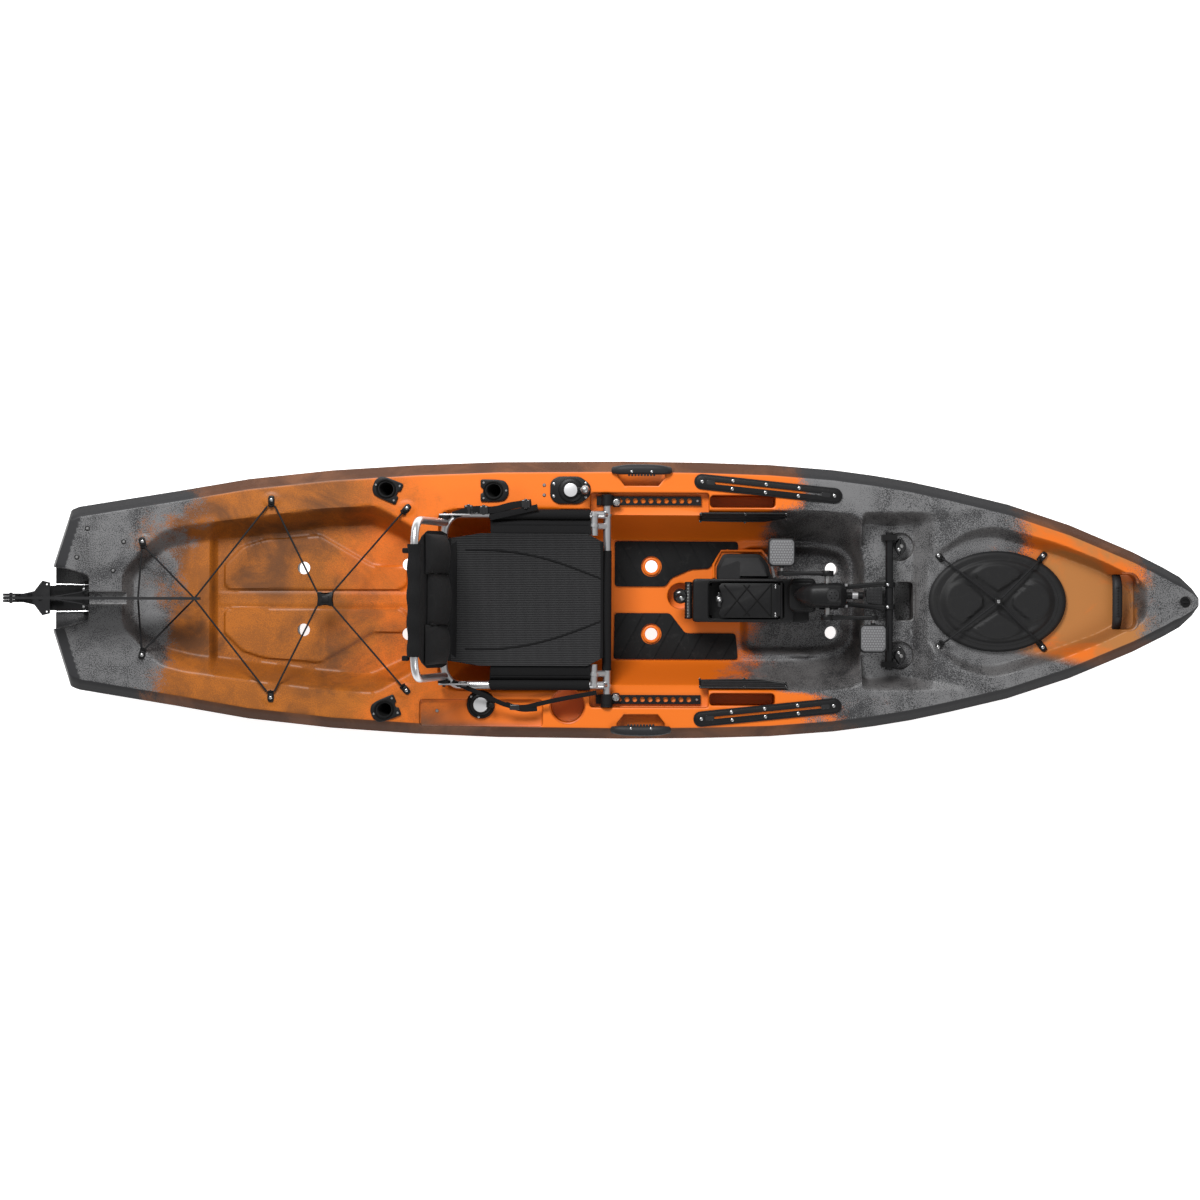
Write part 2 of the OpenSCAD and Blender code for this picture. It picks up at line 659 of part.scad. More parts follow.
module steering_cables() {
    color("silver") sides_too() cord([[rudder_x + 40, 44, notch_z + 44.6],
        [notch_x1 - 40, 43, notch_z + 34], [notch_x1 - 3, 42, notch_z + 30]], 4);
}
module lift_cords() {
    color("black") sides_too() cord([[rudder_x + 46, 4, notch_z + 52],
        [notch_x1 - 30, 18, notch_z + 48], [notch_x1 - 3, 28, notch_z + 46]], 5);
}

// ---- pedal drive, which tilts about the cross bar
con_x0 = 300;
con_x1 = 676;
con_half = 70;
con_z0 = floor_h + 2;
con_z1 = 268;
lid_x0 = 372;
lid_x1 = 586;
// The console drops to a lower shelf here, clear of the turning cranks
con_step = 626;
module drive_console() {
    color("black") difference() {
        union() {
            block([con_x0, -con_half, con_z0], [con_step, con_half, con_z1]);
            block([con_step - 20, -con_half, con_z0], [con_x1, con_half, con_z1 - 34]);
            plate([[378, 60], [378, 110], [400, 152], [520, 152], [545, 120], [560, 60]],
                  con_z0 + pad_t + 3, con_z0 + pad_t + 15);
            block([612, drive_y - 55, con_z1 - 30], [694, drive_y + 55, con_z1 + 52]);
        }
        block([lid_x0 - 2, -62, con_z0 + 20], [lid_x1 - 10, 62, con_z1 + 20]);
        block([lid_x0 - 24, -62, con_z1 - 12], [lid_x1 + 10, 62, con_z1 + 20]);
        block([con_x0 + 8, drive_y - 42, con_z0 - 10], [lid_x0 - 30, drive_y + 42, con_z1 - 40]);
        block([leg_x0 - 0.5, drive_y - 15.5, 0], [leg_x1 + 0.5, drive_y + 15.5, con_z1]);
    }
}
module console_handle() {
    color("black") {
        translate([con_x0 - 14, 0, con_z1 - 30]) rotate([90, 0, 0])
            cylinder(h = 120, d = 26, center = true);
        translate([con_x0 - 40, 14, con_z1 - 44]) cylinder(h = 34, d = 50);
    }
}
module console_lid() {
    color("dimgray") {
        block([lid_x0, -60, con_z1 - 11], [lid_x1 - 8, 60, con_z1 - 4]);
        translate([lid_x1, 0, con_z1 - 6]) rotate([90, 0, 0])
            cylinder(h = 118, d = 10, center = true);
        block([lid_x1 - 12, -50, con_z1 - 9], [lid_x1, 50, con_z1 - 4]);
    }
}
module console_latch() {
    color("silver") translate([lid_x0 + 12, 4, con_z1 - 3.6]) {
        cylinder(h = 8, d = 20);
        translate([-4, -22, 2]) cube([8, 44, 5]);
    }
}
leg_x0 = 650;
leg_x1 = 716;
module drive_leg() {
    color("dimgray") translate([0, drive_y, 0]) difference() {
        union() {
            block([leg_x0, -15, -prop_deep], [leg_x1, 15, con_z1 - 0.5]);
            translate([prop_x + 20, 0, -prop_deep]) rotate([0, 90, 0])
                cylinder(h = 130, d = 62);
            translate([leg_x1 + 34, 0, -prop_deep]) sphere(d = 62);
            block([leg_x0 + 10, -6, -prop_deep - 100], [leg_x1 - 16, 6, -prop_deep]);
        }
        translate([prop_x + 10, 0, -prop_deep]) rotate([0, 90, 0])
            cylinder(h = 60, r = 8 + run_gap, $fn = 48);
    }
}
module drive_head() {
    color("black") translate([0, drive_y, 0]) difference() {
        union() {
            translate([crank_x, 0, crank_h]) rotate([90, 0, 0])
                cylinder(h = 84, r = 56, center = true, $fn = 64);
            plate(both([[624, 16], [650, 33], [700, 40], [crank_x + 38, 40], [crank_x + 56, 24]]),
                  con_z1 + 52.2, crank_h + 56);
            block([694.4, -40, con_z1 + 10], [crank_x + 40, 40, crank_h - 20]);
        }
        translate([crank_x, 0, crank_h]) rotate([90, 0, 0])
            cylinder(h = 200, r = 9 + run_gap, center = true, $fn = 48);
    }
}
module head_cap() {
    color("dimgray") translate([crank_x + 14, drive_y, crank_h + 56.2]) difference() {
        cylinder(h = 5, r = 20);
        for (i = [0:5]) rotate([0, 0, 60 * i]) translate([12, 0, 2]) cylinder(h = 5, r = 2);
    }
}
module docking_fork() {
    color("black") translate([0, drive_y, 0]) {
        difference() {
            union() {
                for (s = [-1, 1]) {
                    block([crank_x + 40.4, s * 34 - 7, bar_h - 8], [bar_x, s * 34 + 7, bar_h + 14]);
                    translate([bar_x, s * 34, bar_h]) rotate([90, 0, 0])
                        cylinder(h = 14, d = bar_d + 16, center = true, $fn = 48);
                }
                block([bar_x - 74, -28, bar_h - 4], [bar_x - 22, 28, bar_h + 8]);
                block([crank_x + 40.4, -40, bar_h - 12], [crank_x + 60, 40, bar_h + 29]);
            }
            translate([bar_x, 0, bar_h]) rotate([90, 0, 0])
                cylinder(h = 200, d = bar_d + 2 * run_gap, center = true, $fn = 48);
        }
        translate([crank_x + 60, 0, bar_h + 16]) rotate([0, 90, 0]) cylinder(h = 60, d = 22);
    }
}
module crank_shaft() {
    color("silver") translate([crank_x, drive_y, crank_h]) rotate([90, 0, 0])
        cylinder(h = 2 * (pedal_half - 76), r = 9, center = true, $fn = 48);
}
arm_y = pedal_half - 67;
module crank_arm(s) {
    translate([crank_x, drive_y + s * arm_y, crank_h]) rotate([90, 0, 0]) difference() {
        union() {
            translate([-s * crank_r / 2, 0, -7]) rotate([0, 0, 0])
                linear_extrude(14) square([crank_r, 24], center = true);
            translate([0, 0, -9]) cylinder(h = 18, r = 20);
            translate([-s * crank_r, 0, -8]) cylinder(h = 16, r = 14);
        }
        translate([-s * crank_r, 0, -20]) cylinder(h = 40, r = 5 + run_gap, $fn = 48);
    }
}
module crank_arms() {
    color("black") for (s = [-1, 1]) crank_arm(s);
}
module pedal(s) {
    color("dimgray") translate([crank_x - s * crank_r, drive_y + s * pedal_half, crank_h]) {
        translate([0, 0, -11]) rounded(87, 90, 22, 22);
        translate([0, -s * 46, 0]) rotate([90, 0, 0])
            cylinder(h = 60, r = 5, center = true, $fn = 48);
    }
}
module pedal_port() pedal(1);
module pedal_starboard() pedal(-1);
module propeller() {
    color("dimgray") translate([prop_x, drive_y, -prop_deep]) {
        translate([-22, 0, 0]) rotate([0, 90, 0]) cylinder(h = 40, d = 46);
        translate([-22, 0, 0]) sphere(d = 45);
        rotate([0, 90, 0]) cylinder(h = 60, r = 8, $fn = 48);
        for (s = [0, 180]) rotate([s, 0, 0]) rotate([0, 0, 28]) translate([0, 0, 12])
            rotate([90, 0, 90]) linear_extrude(6, center = true)
                polygon([[-12, 0], [-24, prop_r * 0.45], [-20, prop_r * 0.75], [-6, prop_r - 12],
                         [8, prop_r - 14], [22, prop_r * 0.7], [24, prop_r * 0.4], [12, 0]]);
    }
}

// ---- frame seat, which slides on the rails
seat_x0 = -19 - seat_l;
front_x = 22;
pivot_x = seat_x0 + 9;
arm_half = seat_half - 20;
foot_z = ledge_h + rail_t;
leg_h = foot_z + 4 + tube_d / 2;
// Closed loop of tube along a ring of points
module loop_tube(pts, d, sides = 12) {
    m = len(pts);
    wrapped = concat([pts[m - 1]], pts, [pts[0]]);
    rings = [for (i = [1:m]) ring_at(wrapped, i, d / 2, sides, [0, 0, 1])];
    polyhedron(
        points = [for (r = rings) each r],
        faces = [for (i = [0:m - 1], j = [0:sides - 1])
            let (a = i * sides, b = ((i + 1) % m) * sides, k = (j + 1) % sides)
            each [[a + j, a + k, b + k], [a + j, b + k, b + j]]]);
}
// Rectangle with round corners, as points at height z
function round_path(x0, x1, half, r, z) = [for (c = [[x1 - r, half - r, 0], [x0 + r, half - r, 90],
    [x0 + r, r - half, 180], [x1 - r, r - half, 270]], a = [0:22.5:90])
    [c[0] + r * cos(c[2] + a), c[1] + r * sin(c[2] + a), z]];
module seat_frame() {
    color("silver") {
        loop_tube(round_path(seat_x0, -19, seat_half, 50, seat_h), tube_d);
        rod([front_x, -rail_y - 8, leg_h], [front_x, rail_y + 8, leg_h], tube_d);
        sides_too() block([-28, seat_half - 72, leg_h - 8], [front_x, seat_half - 52, seat_h + 6]);
        // ears that carry the backrest's hubs
        sides_too() difference() {
            block([pivot_x - 24, arm_half + 17, seat_h - 4], [seat_x0 + 84, arm_half + 23, seat_h + 54]);
            translate([pivot_x - 6.5, 0, seat_h + 33.5]) rotate([90, 0, 0])
                cylinder(h = 4 * arm_half, r = 5 + run_gap, center = true, $fn = 48);
        }
        sides_too() block([seat_x0 + 70, seat_half - 6, deck_h - 4],
                          [seat_x0 + 90, cockpit_half - 9, seat_h - 2]);
    }
}
module seat_sling() {
    color("black") translate([(seat_x0 - 19) / 2, 0, seat_h - 16])
        rounded(seat_l - tube_d - 6, 2 * seat_half - tube_d - 6, 34, 14);
}
module seat_feet() {
    color("black") sides_too() {
        difference() {
            block([front_x - 18, rail_y - 18, foot_z + 0.3], [front_x + 18, rail_y + 20, leg_h + tube_d / 2 + 3]);
            translate([front_x, 0, leg_h]) rotate([90, 0, 0])
                cylinder(h = 3 * rail_y, d = tube_d + 0.04, center = true, $fn = 24);
        }
    }
}
module seat_knobs() {
    color("silver") sides_too() translate([front_x + 30, rail_y - 6, foot_z + 0.4]) {
        cylinder(h = 20, d = 20);
        translate([0, 0, 10]) cylinder(h = 10, d = 24);
    }
}
function back(u, y) = [pivot_x - u * sin(back_lean), y, seat_h + u * cos(back_lean)];
module back_hubs() {
    color("black") sides_too() translate([pivot_x - 6.5, arm_half + 15.5, seat_h + 33.5])
        rotate([90, 0, 0]) {
            cylinder(h = 10, d = 40);
            translate([0, 0, -10]) cylinder(h = 15, r = 5, $fn = 48);
        }
}
module back_frame() {
    color("silver") cord([back(34, arm_half - 8), back(back_l - 90, arm_half - 8),
        back(back_l - 34, arm_half - 24), back(back_l - 10, arm_half - 48),
        back(back_l, arm_half - 80), back(back_l, 80 - arm_half),
        back(back_l - 10, 48 - arm_half), back(back_l - 34, 24 - arm_half),
        back(back_l - 90, 8 - arm_half), back(34, 8 - arm_half)], tube_d, 12, [1, 0, 0]);
}
module back_sling() {
    color("black") translate([pivot_x, 0, seat_h]) rotate([0, -back_lean, 0])
        block([8 + tube_d / 2, -arm_half + 26, 60], [18 + tube_d / 2, arm_half - 26, back_l - 30]);
}
module lumbar_pad() {
    color("black") translate([pivot_x, 0, seat_h]) rotate([0, -back_lean, 0])
        block([18.4 + tube_d / 2, -arm_half + 40, 70], [58 + tube_d / 2, arm_half - 40, back_l - 60]);
}

hull();
scupper_collars();
foam_pad_port();
foam_pad_starboard();
rod_holder_aft_port();
rod_holder_mid_port();
rod_holder_aft_starboard();
track_port();
track_starboard();
deck_screws();
grip_port();
grip_starboard();
bow_handle();
seat_rail_port();
seat_rail_starboard();
pocket_net_port();
pocket_net_starboard();
pad_eyes();
tank_bungee_aft();
tank_bungee_front();
bungee_clip();
hatch_bungee();
hatch_seal();
hatch_lid();
drain_plug();
cross_bar();
bar_saddles();
clamp_knob_port();
clamp_knob_starboard();
steering_base();
steering_arm();
steering_knob();
lift_dial_base();
lift_dial();
rudder_bracket();
rudder_head();
rudder_blade();
steering_cables();
lift_cords();
drive_console();
console_handle();
console_lid();
console_latch();
drive_leg();
drive_head();
head_cap();
docking_fork();
crank_shaft();
crank_arms();
pedal_port();
pedal_starboard();
propeller();
seat_frame();
seat_sling();
seat_feet();
seat_knobs();
back_frame();
back_sling();
lumbar_pad();
back_hubs();
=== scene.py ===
"""Sit-on-top kayak with a frame seat, a pedal drive and a flip-up rudder. All shapes are in mm."""

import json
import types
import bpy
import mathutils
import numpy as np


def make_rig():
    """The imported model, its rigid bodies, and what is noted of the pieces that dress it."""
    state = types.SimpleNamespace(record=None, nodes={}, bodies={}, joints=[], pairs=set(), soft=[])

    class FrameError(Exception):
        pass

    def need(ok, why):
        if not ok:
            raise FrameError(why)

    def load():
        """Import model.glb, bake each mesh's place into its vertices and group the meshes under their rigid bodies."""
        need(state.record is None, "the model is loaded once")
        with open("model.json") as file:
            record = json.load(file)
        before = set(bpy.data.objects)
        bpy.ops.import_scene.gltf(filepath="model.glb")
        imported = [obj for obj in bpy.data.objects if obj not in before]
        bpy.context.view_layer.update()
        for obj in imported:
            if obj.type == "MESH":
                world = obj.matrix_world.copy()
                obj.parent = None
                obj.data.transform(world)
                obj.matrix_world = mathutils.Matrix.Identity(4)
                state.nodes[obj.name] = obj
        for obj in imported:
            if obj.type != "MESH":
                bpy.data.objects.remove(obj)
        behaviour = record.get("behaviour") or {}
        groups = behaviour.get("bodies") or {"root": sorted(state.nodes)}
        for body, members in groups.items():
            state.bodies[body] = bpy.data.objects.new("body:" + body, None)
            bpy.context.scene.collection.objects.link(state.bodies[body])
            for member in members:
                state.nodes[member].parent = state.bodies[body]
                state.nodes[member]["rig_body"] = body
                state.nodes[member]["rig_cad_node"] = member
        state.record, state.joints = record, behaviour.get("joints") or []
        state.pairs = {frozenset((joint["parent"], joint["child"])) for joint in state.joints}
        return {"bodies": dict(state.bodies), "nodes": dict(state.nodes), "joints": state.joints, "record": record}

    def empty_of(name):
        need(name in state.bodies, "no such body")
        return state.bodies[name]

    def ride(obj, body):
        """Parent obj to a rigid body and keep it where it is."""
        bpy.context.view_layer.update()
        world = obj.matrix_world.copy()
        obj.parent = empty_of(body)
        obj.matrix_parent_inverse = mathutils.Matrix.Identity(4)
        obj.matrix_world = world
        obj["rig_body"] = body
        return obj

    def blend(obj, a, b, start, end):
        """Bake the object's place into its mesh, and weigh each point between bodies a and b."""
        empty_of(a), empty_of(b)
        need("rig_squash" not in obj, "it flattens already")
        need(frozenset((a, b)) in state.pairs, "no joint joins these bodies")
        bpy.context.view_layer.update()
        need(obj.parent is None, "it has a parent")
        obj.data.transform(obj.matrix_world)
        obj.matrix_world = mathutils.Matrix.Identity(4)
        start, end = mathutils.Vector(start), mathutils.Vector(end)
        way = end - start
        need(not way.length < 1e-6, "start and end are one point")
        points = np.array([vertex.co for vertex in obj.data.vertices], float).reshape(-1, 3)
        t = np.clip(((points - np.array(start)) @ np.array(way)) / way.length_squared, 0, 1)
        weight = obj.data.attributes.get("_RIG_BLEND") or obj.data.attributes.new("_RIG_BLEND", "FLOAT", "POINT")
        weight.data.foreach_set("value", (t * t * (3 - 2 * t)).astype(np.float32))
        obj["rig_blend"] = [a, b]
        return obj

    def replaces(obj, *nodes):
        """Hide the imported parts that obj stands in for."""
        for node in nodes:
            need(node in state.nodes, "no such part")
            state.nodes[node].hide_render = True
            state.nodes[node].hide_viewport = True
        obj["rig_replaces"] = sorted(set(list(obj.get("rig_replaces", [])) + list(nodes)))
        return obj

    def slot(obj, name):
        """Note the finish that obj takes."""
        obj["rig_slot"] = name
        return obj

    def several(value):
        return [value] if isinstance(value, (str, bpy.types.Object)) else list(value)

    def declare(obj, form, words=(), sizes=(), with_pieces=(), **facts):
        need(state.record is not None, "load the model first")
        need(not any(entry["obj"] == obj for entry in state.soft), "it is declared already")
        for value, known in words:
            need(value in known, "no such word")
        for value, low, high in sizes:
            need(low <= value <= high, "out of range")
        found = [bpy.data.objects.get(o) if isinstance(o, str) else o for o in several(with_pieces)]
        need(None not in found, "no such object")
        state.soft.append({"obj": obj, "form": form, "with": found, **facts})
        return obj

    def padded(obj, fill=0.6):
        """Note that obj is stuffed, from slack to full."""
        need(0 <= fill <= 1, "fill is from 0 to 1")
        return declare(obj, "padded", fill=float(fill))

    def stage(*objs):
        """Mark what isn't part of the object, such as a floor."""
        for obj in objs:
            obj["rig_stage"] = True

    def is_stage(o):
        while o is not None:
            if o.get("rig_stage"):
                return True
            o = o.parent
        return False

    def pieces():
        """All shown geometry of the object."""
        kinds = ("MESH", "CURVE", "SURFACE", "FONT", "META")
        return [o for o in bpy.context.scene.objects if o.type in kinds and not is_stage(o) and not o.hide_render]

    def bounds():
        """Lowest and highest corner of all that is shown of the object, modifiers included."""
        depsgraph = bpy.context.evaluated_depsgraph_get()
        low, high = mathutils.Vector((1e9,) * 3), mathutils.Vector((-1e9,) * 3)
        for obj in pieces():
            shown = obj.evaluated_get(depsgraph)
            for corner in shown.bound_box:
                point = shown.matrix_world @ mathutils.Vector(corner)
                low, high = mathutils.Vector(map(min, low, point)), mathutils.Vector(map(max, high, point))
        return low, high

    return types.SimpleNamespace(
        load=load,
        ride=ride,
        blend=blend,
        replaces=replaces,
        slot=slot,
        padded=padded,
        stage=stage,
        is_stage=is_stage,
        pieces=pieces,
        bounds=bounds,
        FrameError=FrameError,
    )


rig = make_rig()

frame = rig.load()

import json
import math

import bmesh
import bpy
import numpy as np
from mathutils import Vector

bl_info = {
    "name": "Pedal kayak",
    "version": (1, 0, 0),
    "blender": (4, 5, 0),
    "location": "View3D > Sidebar > Kayak",
    "description": "Builds a rotomoulded pedal kayak from its sizes",
    "category": "Object",
}


# ---- properties


def size(name, default, text, low=0.001, high=5000.0):
    return bpy.props.FloatProperty(name=name, default=default, description=text + ", in mm",
                                   min=low, max=high, unit="NONE")


def colour(name, rgb, text):
    return bpy.props.FloatVectorProperty(name=name, subtype="COLOR", size=4, min=0, max=1,
                                         default=(*rgb, 1), description=text)


class KayakSizes(bpy.types.PropertyGroup):
    hull_l: size("Hull length", 3659, "Length of the hull from transom to bow")
    beam: size("Beam", 891, "Width of the hull amidships")
    deck_h: size("Deck height", 330, "Height of the gunwales above the keel amidships")
    step: size("Deck grid", 6.2, "Spacing of the deck's mesh lines", 3, 60)
    floor_h: size("Cockpit floor", 155, "Height of the cockpit floor")
    foot_h: size("Footwell floor", 110, "Height of the footwell floor")
    tube_d: size("Tube", 25, "Outer diameter of the seat tubes", 10, 60)
    seat_half: size("Seat half width", 273, "Half distance between the seat's side tubes")
    seat_l: size("Seat length", 480, "Length of the seat's side tubes")
    seat_h: size("Seat height", 352, "Height of the seat's side tubes")
    back_l: size("Backrest", 430, "Length of the backrest frame")
    drive_y: size("Drive offset", 17, "Distance of the drive's centre plane to port", -50, 50)
    crank_h: size("Crank height", 400, "Height of the crank axis")
    crank_r: size("Crank arm", 146, "Length of the crank arms")
    pedal_half: size("Pedal spread", 137, "Half distance between the pedals' centres")
    sag: size("Seat sag", 24, "How far the seat mesh hangs at its middle", 0, 80)
    groove_pitch: size("Groove pitch", 56, "Spacing of the grooves in the foam floor pads", 10, 200)
    groove_w: size("Groove width", 5.0, "Width of the grooves in the foam floor pads", 1, 20)


class KayakColours(bpy.types.PropertyGroup):
    orange: colour("Orange", (0.74, 0.150, 0.004), "Bright orange of the hull")
    amber: colour("Amber", (0.40, 0.115, 0.006), "Amber of the tank well")
    brown: colour("Brown", (0.070, 0.026, 0.007), "Dark brown of the marbling")
    tan: colour("Tan", (0.42, 0.165, 0.040), "Tan of the bow")
    grey: colour("Grey", (0.155, 0.155, 0.158), "Speckled grey of the hull")
    dark: colour("Dark grey", (0.028, 0.028, 0.030), "Dark speckles of the hull")
    black: colour("Black", (0.0075, 0.0075, 0.008), "Black fittings")
    fabric: colour("Fabric", (0.016, 0.016, 0.017), "Black cloth")


def sizes():
    return bpy.context.scene.kayak_sizes


def tints():
    return bpy.context.scene.kayak_colours


# ---- shader helpers


def group_tree(name, outputs, inputs=()):
    """New shader group with float or colour sockets; returns the tree and its two ends."""
    tree = bpy.data.node_groups.new(name, "ShaderNodeTree")
    kinds = {"f": "NodeSocketFloat", "c": "NodeSocketColor", "v": "NodeSocketVector"}
    for label, kind, value in inputs:
        s = tree.interface.new_socket(name=label, in_out="INPUT", socket_type=kinds[kind])
        s.default_value = value
    for label, kind in outputs:
        tree.interface.new_socket(name=label, in_out="OUTPUT", socket_type=kinds[kind])
    return tree, tree.nodes.new("NodeGroupInput"), tree.nodes.new("NodeGroupOutput")


class Net:
    """Short way to add and link nodes in one tree."""

    def __init__(self, tree):
        self.t = tree

    def put(self, socket, value):
        if isinstance(value, bpy.types.NodeSocket):
            self.t.links.new(value, socket)
        elif value is not None:
            socket.default_value = value

    def node(self, kind, inputs=None, **props):
        n = self.t.nodes.new("ShaderNode" + kind)
        for k, v in props.items():
            setattr(n, k, v)
        for k, v in (inputs or {}).items():
            self.put(n.inputs[k], v)
        return n

    def math(self, op, a, b=None, clamp=False):
        n = self.node("Math", {0: a, 1: b}, operation=op, use_clamp=clamp)
        return n.outputs[0]

    def ramp(self, value, low, high):
        n = self.node("MapRange", {"Value": value, "From Min": low, "From Max": high},
                      interpolation_type="SMOOTHSTEP")
        return n.outputs["Result"]

    def mix(self, f, a, b, blend="MIX"):
        n = self.node("Mix", data_type="RGBA", blend_type=blend)
        for s, v in zip((n.inputs[0], n.inputs[6], n.inputs[7]), (f, a, b)):
            self.put(s, v)
        return n.outputs[2]

    def noise(self, vector, scale, detail=3.0, rough=0.5, distort=0.0):
        n = self.node("TexNoise", {"Vector": vector, "Scale": scale, "Detail": detail,
                                   "Roughness": rough, "Distortion": distort})
        return n.outputs["Fac"]

    def place(self):
        return self.node("TexCoord").outputs["Object"]


def grain_group():
    """Fine speckle: a mask and a bump height."""
    tree, src, out = group_tree("Grain", [("Mask", "f"), ("Height", "f")],
                                [("Scale", "f", 900.0), ("Share", "f", 0.5)])
    n = Net(tree)
    p = n.place()
    fine = n.noise(p, src.outputs["Scale"], 2.0, 0.6)
    wide = n.noise(p, 7.0, 4.0, 0.6, 0.6)
    level = n.math("ADD", fine, n.math("MULTIPLY", n.math("SUBTRACT", wide, 0.5), 0.7))
    mask = n.ramp(level, n.math("SUBTRACT", src.outputs["Share"], 0.09),
                  n.math("ADD", src.outputs["Share"], 0.09))
    n.put(out.inputs["Mask"], mask)
    n.put(out.inputs["Height"], fine)
    return tree


def marble_group():
    """Where the two colours of the hull lie: masks along its length with torn, speckled borders."""
    tree, src, out = group_tree("Marble", [("Grey", "f"), ("Tan", "f"), ("Amber", "f"),
                                           ("Cloud", "f")])
    n = Net(tree)
    p = n.place()
    x, y, z = n.node("SeparateXYZ", {0: p}).outputs
    big = n.noise(p, 2.3, 3.0, 0.55, 0.8)
    mid = n.noise(p, 9.0, 4.0, 0.65, 0.5)
    fine = n.noise(p, 420.0, 2.0, 0.6)
    ay = n.math("ABSOLUTE", y)
    wob = n.math("MULTIPLY", n.math("SUBTRACT", big, 0.5), 0.55)
    wob = n.math("ADD", wob, n.math("MULTIPLY", n.math("SUBTRACT", mid, 0.5), 0.34))
    wob = n.math("ADD", wob, n.math("MULTIPLY", n.math("SUBTRACT", fine, 0.5), 0.30))
    u = n.math("ADD", x, wob)
    # the gunwales stay orange further forward, more so to starboard
    side = n.math("MULTIPLY", n.ramp(ay, 0.27, 0.31), n.math("SUBTRACT", 0.17,
                  n.math("MULTIPLY", y, 0.22)))
    fore = n.math("SUBTRACT", u, side)
    stern = n.ramp(n.math("ADD", u, n.math("MULTIPLY", y, -0.18)), -1.36, -1.42)
    middle = n.math("MULTIPLY", n.ramp(fore, 0.46, 0.56), n.ramp(u, 1.46, 1.36))
    tip = n.ramp(u, 1.70, 1.78)
    # grey returns along the starboard rim of the bow
    rim = n.math("MULTIPLY", n.ramp(n.math("ADD", y, n.math("MULTIPLY", x, 0.22)), 0.16, 0.12),
                 n.ramp(x, 1.05, 1.2))
    grey = n.math("MAXIMUM", n.math("MAXIMUM", stern, middle), n.math("MAXIMUM", tip, rim))
    n.put(out.inputs["Grey"], grey)
    n.put(out.inputs["Tan"], n.ramp(u, 0.9, 1.1))
    n.put(out.inputs["Amber"], n.math("MULTIPLY", n.ramp(u, -0.52, -0.86), n.ramp(u, -1.6, -1.4)))
    n.put(out.inputs["Cloud"], n.ramp(n.noise(p, 3.4, 5.0, 0.62, 1.2), 0.42, 0.66))
    return tree


def weave_group():
    """Diamond weave: thread mask and height, from the object's own coordinates."""
    tree, src, out = group_tree("Weave", [("Mask", "f"), ("Height", "f")],
                                [("Pitch", "f", 0.009)])
    n = Net(tree)
    x, y, z = n.node("SeparateXYZ", {0: n.place()}).outputs
    turn = math.tau
    def wave(a, b):
        s = n.math("DIVIDE", n.math(a, x, n.math("MULTIPLY", y, b)), src.outputs["Pitch"])
        return n.math("SINE", n.math("MULTIPLY", s, turn))
    both = n.math("MULTIPLY", wave("ADD", 0.62), wave("SUBTRACT", 0.62))
    n.put(out.inputs["Mask"], n.ramp(both, -0.25, 0.55))
    n.put(out.inputs["Height"], both)
    return tree


def wear_group():
    """Scuffs and dust: a light colour over the base colour, and a roughness shift."""
    tree, src, out = group_tree("Scuff and dust", [("Color", "c"), ("Rough", "f")],
                                [("Color", "c", (0.5, 0.5, 0.5, 1)), ("Amount", "f", 0.2)])
    n = Net(tree)
    p = n.place()
    dust = n.ramp(n.noise(p, 38.0, 6.0, 0.7, 0.4), 0.52, 0.72)
    amount = n.math("MULTIPLY", dust, src.outputs["Amount"])
    n.put(out.inputs["Color"], n.mix(amount, src.outputs["Color"], (0.35, 0.34, 0.33, 1)))
    n.put(out.inputs["Rough"], n.math("MULTIPLY", amount, 0.5))
    return tree


def shared(name, maker):
    return bpy.data.node_groups.get(name) or maker()


def group_node(n, tree, **inputs):
    g = n.t.nodes.new("ShaderNodeGroup")
    g.node_tree = tree
    for k, v in inputs.items():
        n.put(g.inputs[k], v)
    return g.outputs


def new_material(name):
    m = bpy.data.materials.get(name)
    if m:
        return m, None, None
    m = bpy.data.materials.new(name)
    m.use_nodes = True
    n = Net(m.node_tree)
    return m, n, m.node_tree.nodes["Principled BSDF"]


def bump(n, b, height, distance, strength=0.6):
    node = n.node("Bump", {"Height": height, "Distance": distance, "Strength": strength})
    n.put(b.inputs["Normal"], node.outputs["Normal"])


def plain(name, rgb, rough=0.45, metal=0.0, grain=0.0, dust=0.012, coat=0.0):
    """Plastic or metal of one colour, a little dusty and with a fine grain."""
    m, n, b = new_material(name)
    if n is None:
        return m
    worn = group_node(n, shared("Scuff and dust", wear_group), Color=(*rgb[:3], 1), Amount=dust)
    n.put(b.inputs["Base Color"], worn["Color"])
    b.inputs["Roughness"].default_value = rough
    b.inputs["Specular IOR Level"].default_value = 0.5 if metal or coat else 0.2
    b.inputs["Metallic"].default_value = metal
    b.inputs["Coat Weight"].default_value = coat
    if grain:
        g = group_node(n, shared("Grain", grain_group), Scale=1400.0, Share=0.5)
        bump(n, b, g["Height"], grain * 0.001)
    return m


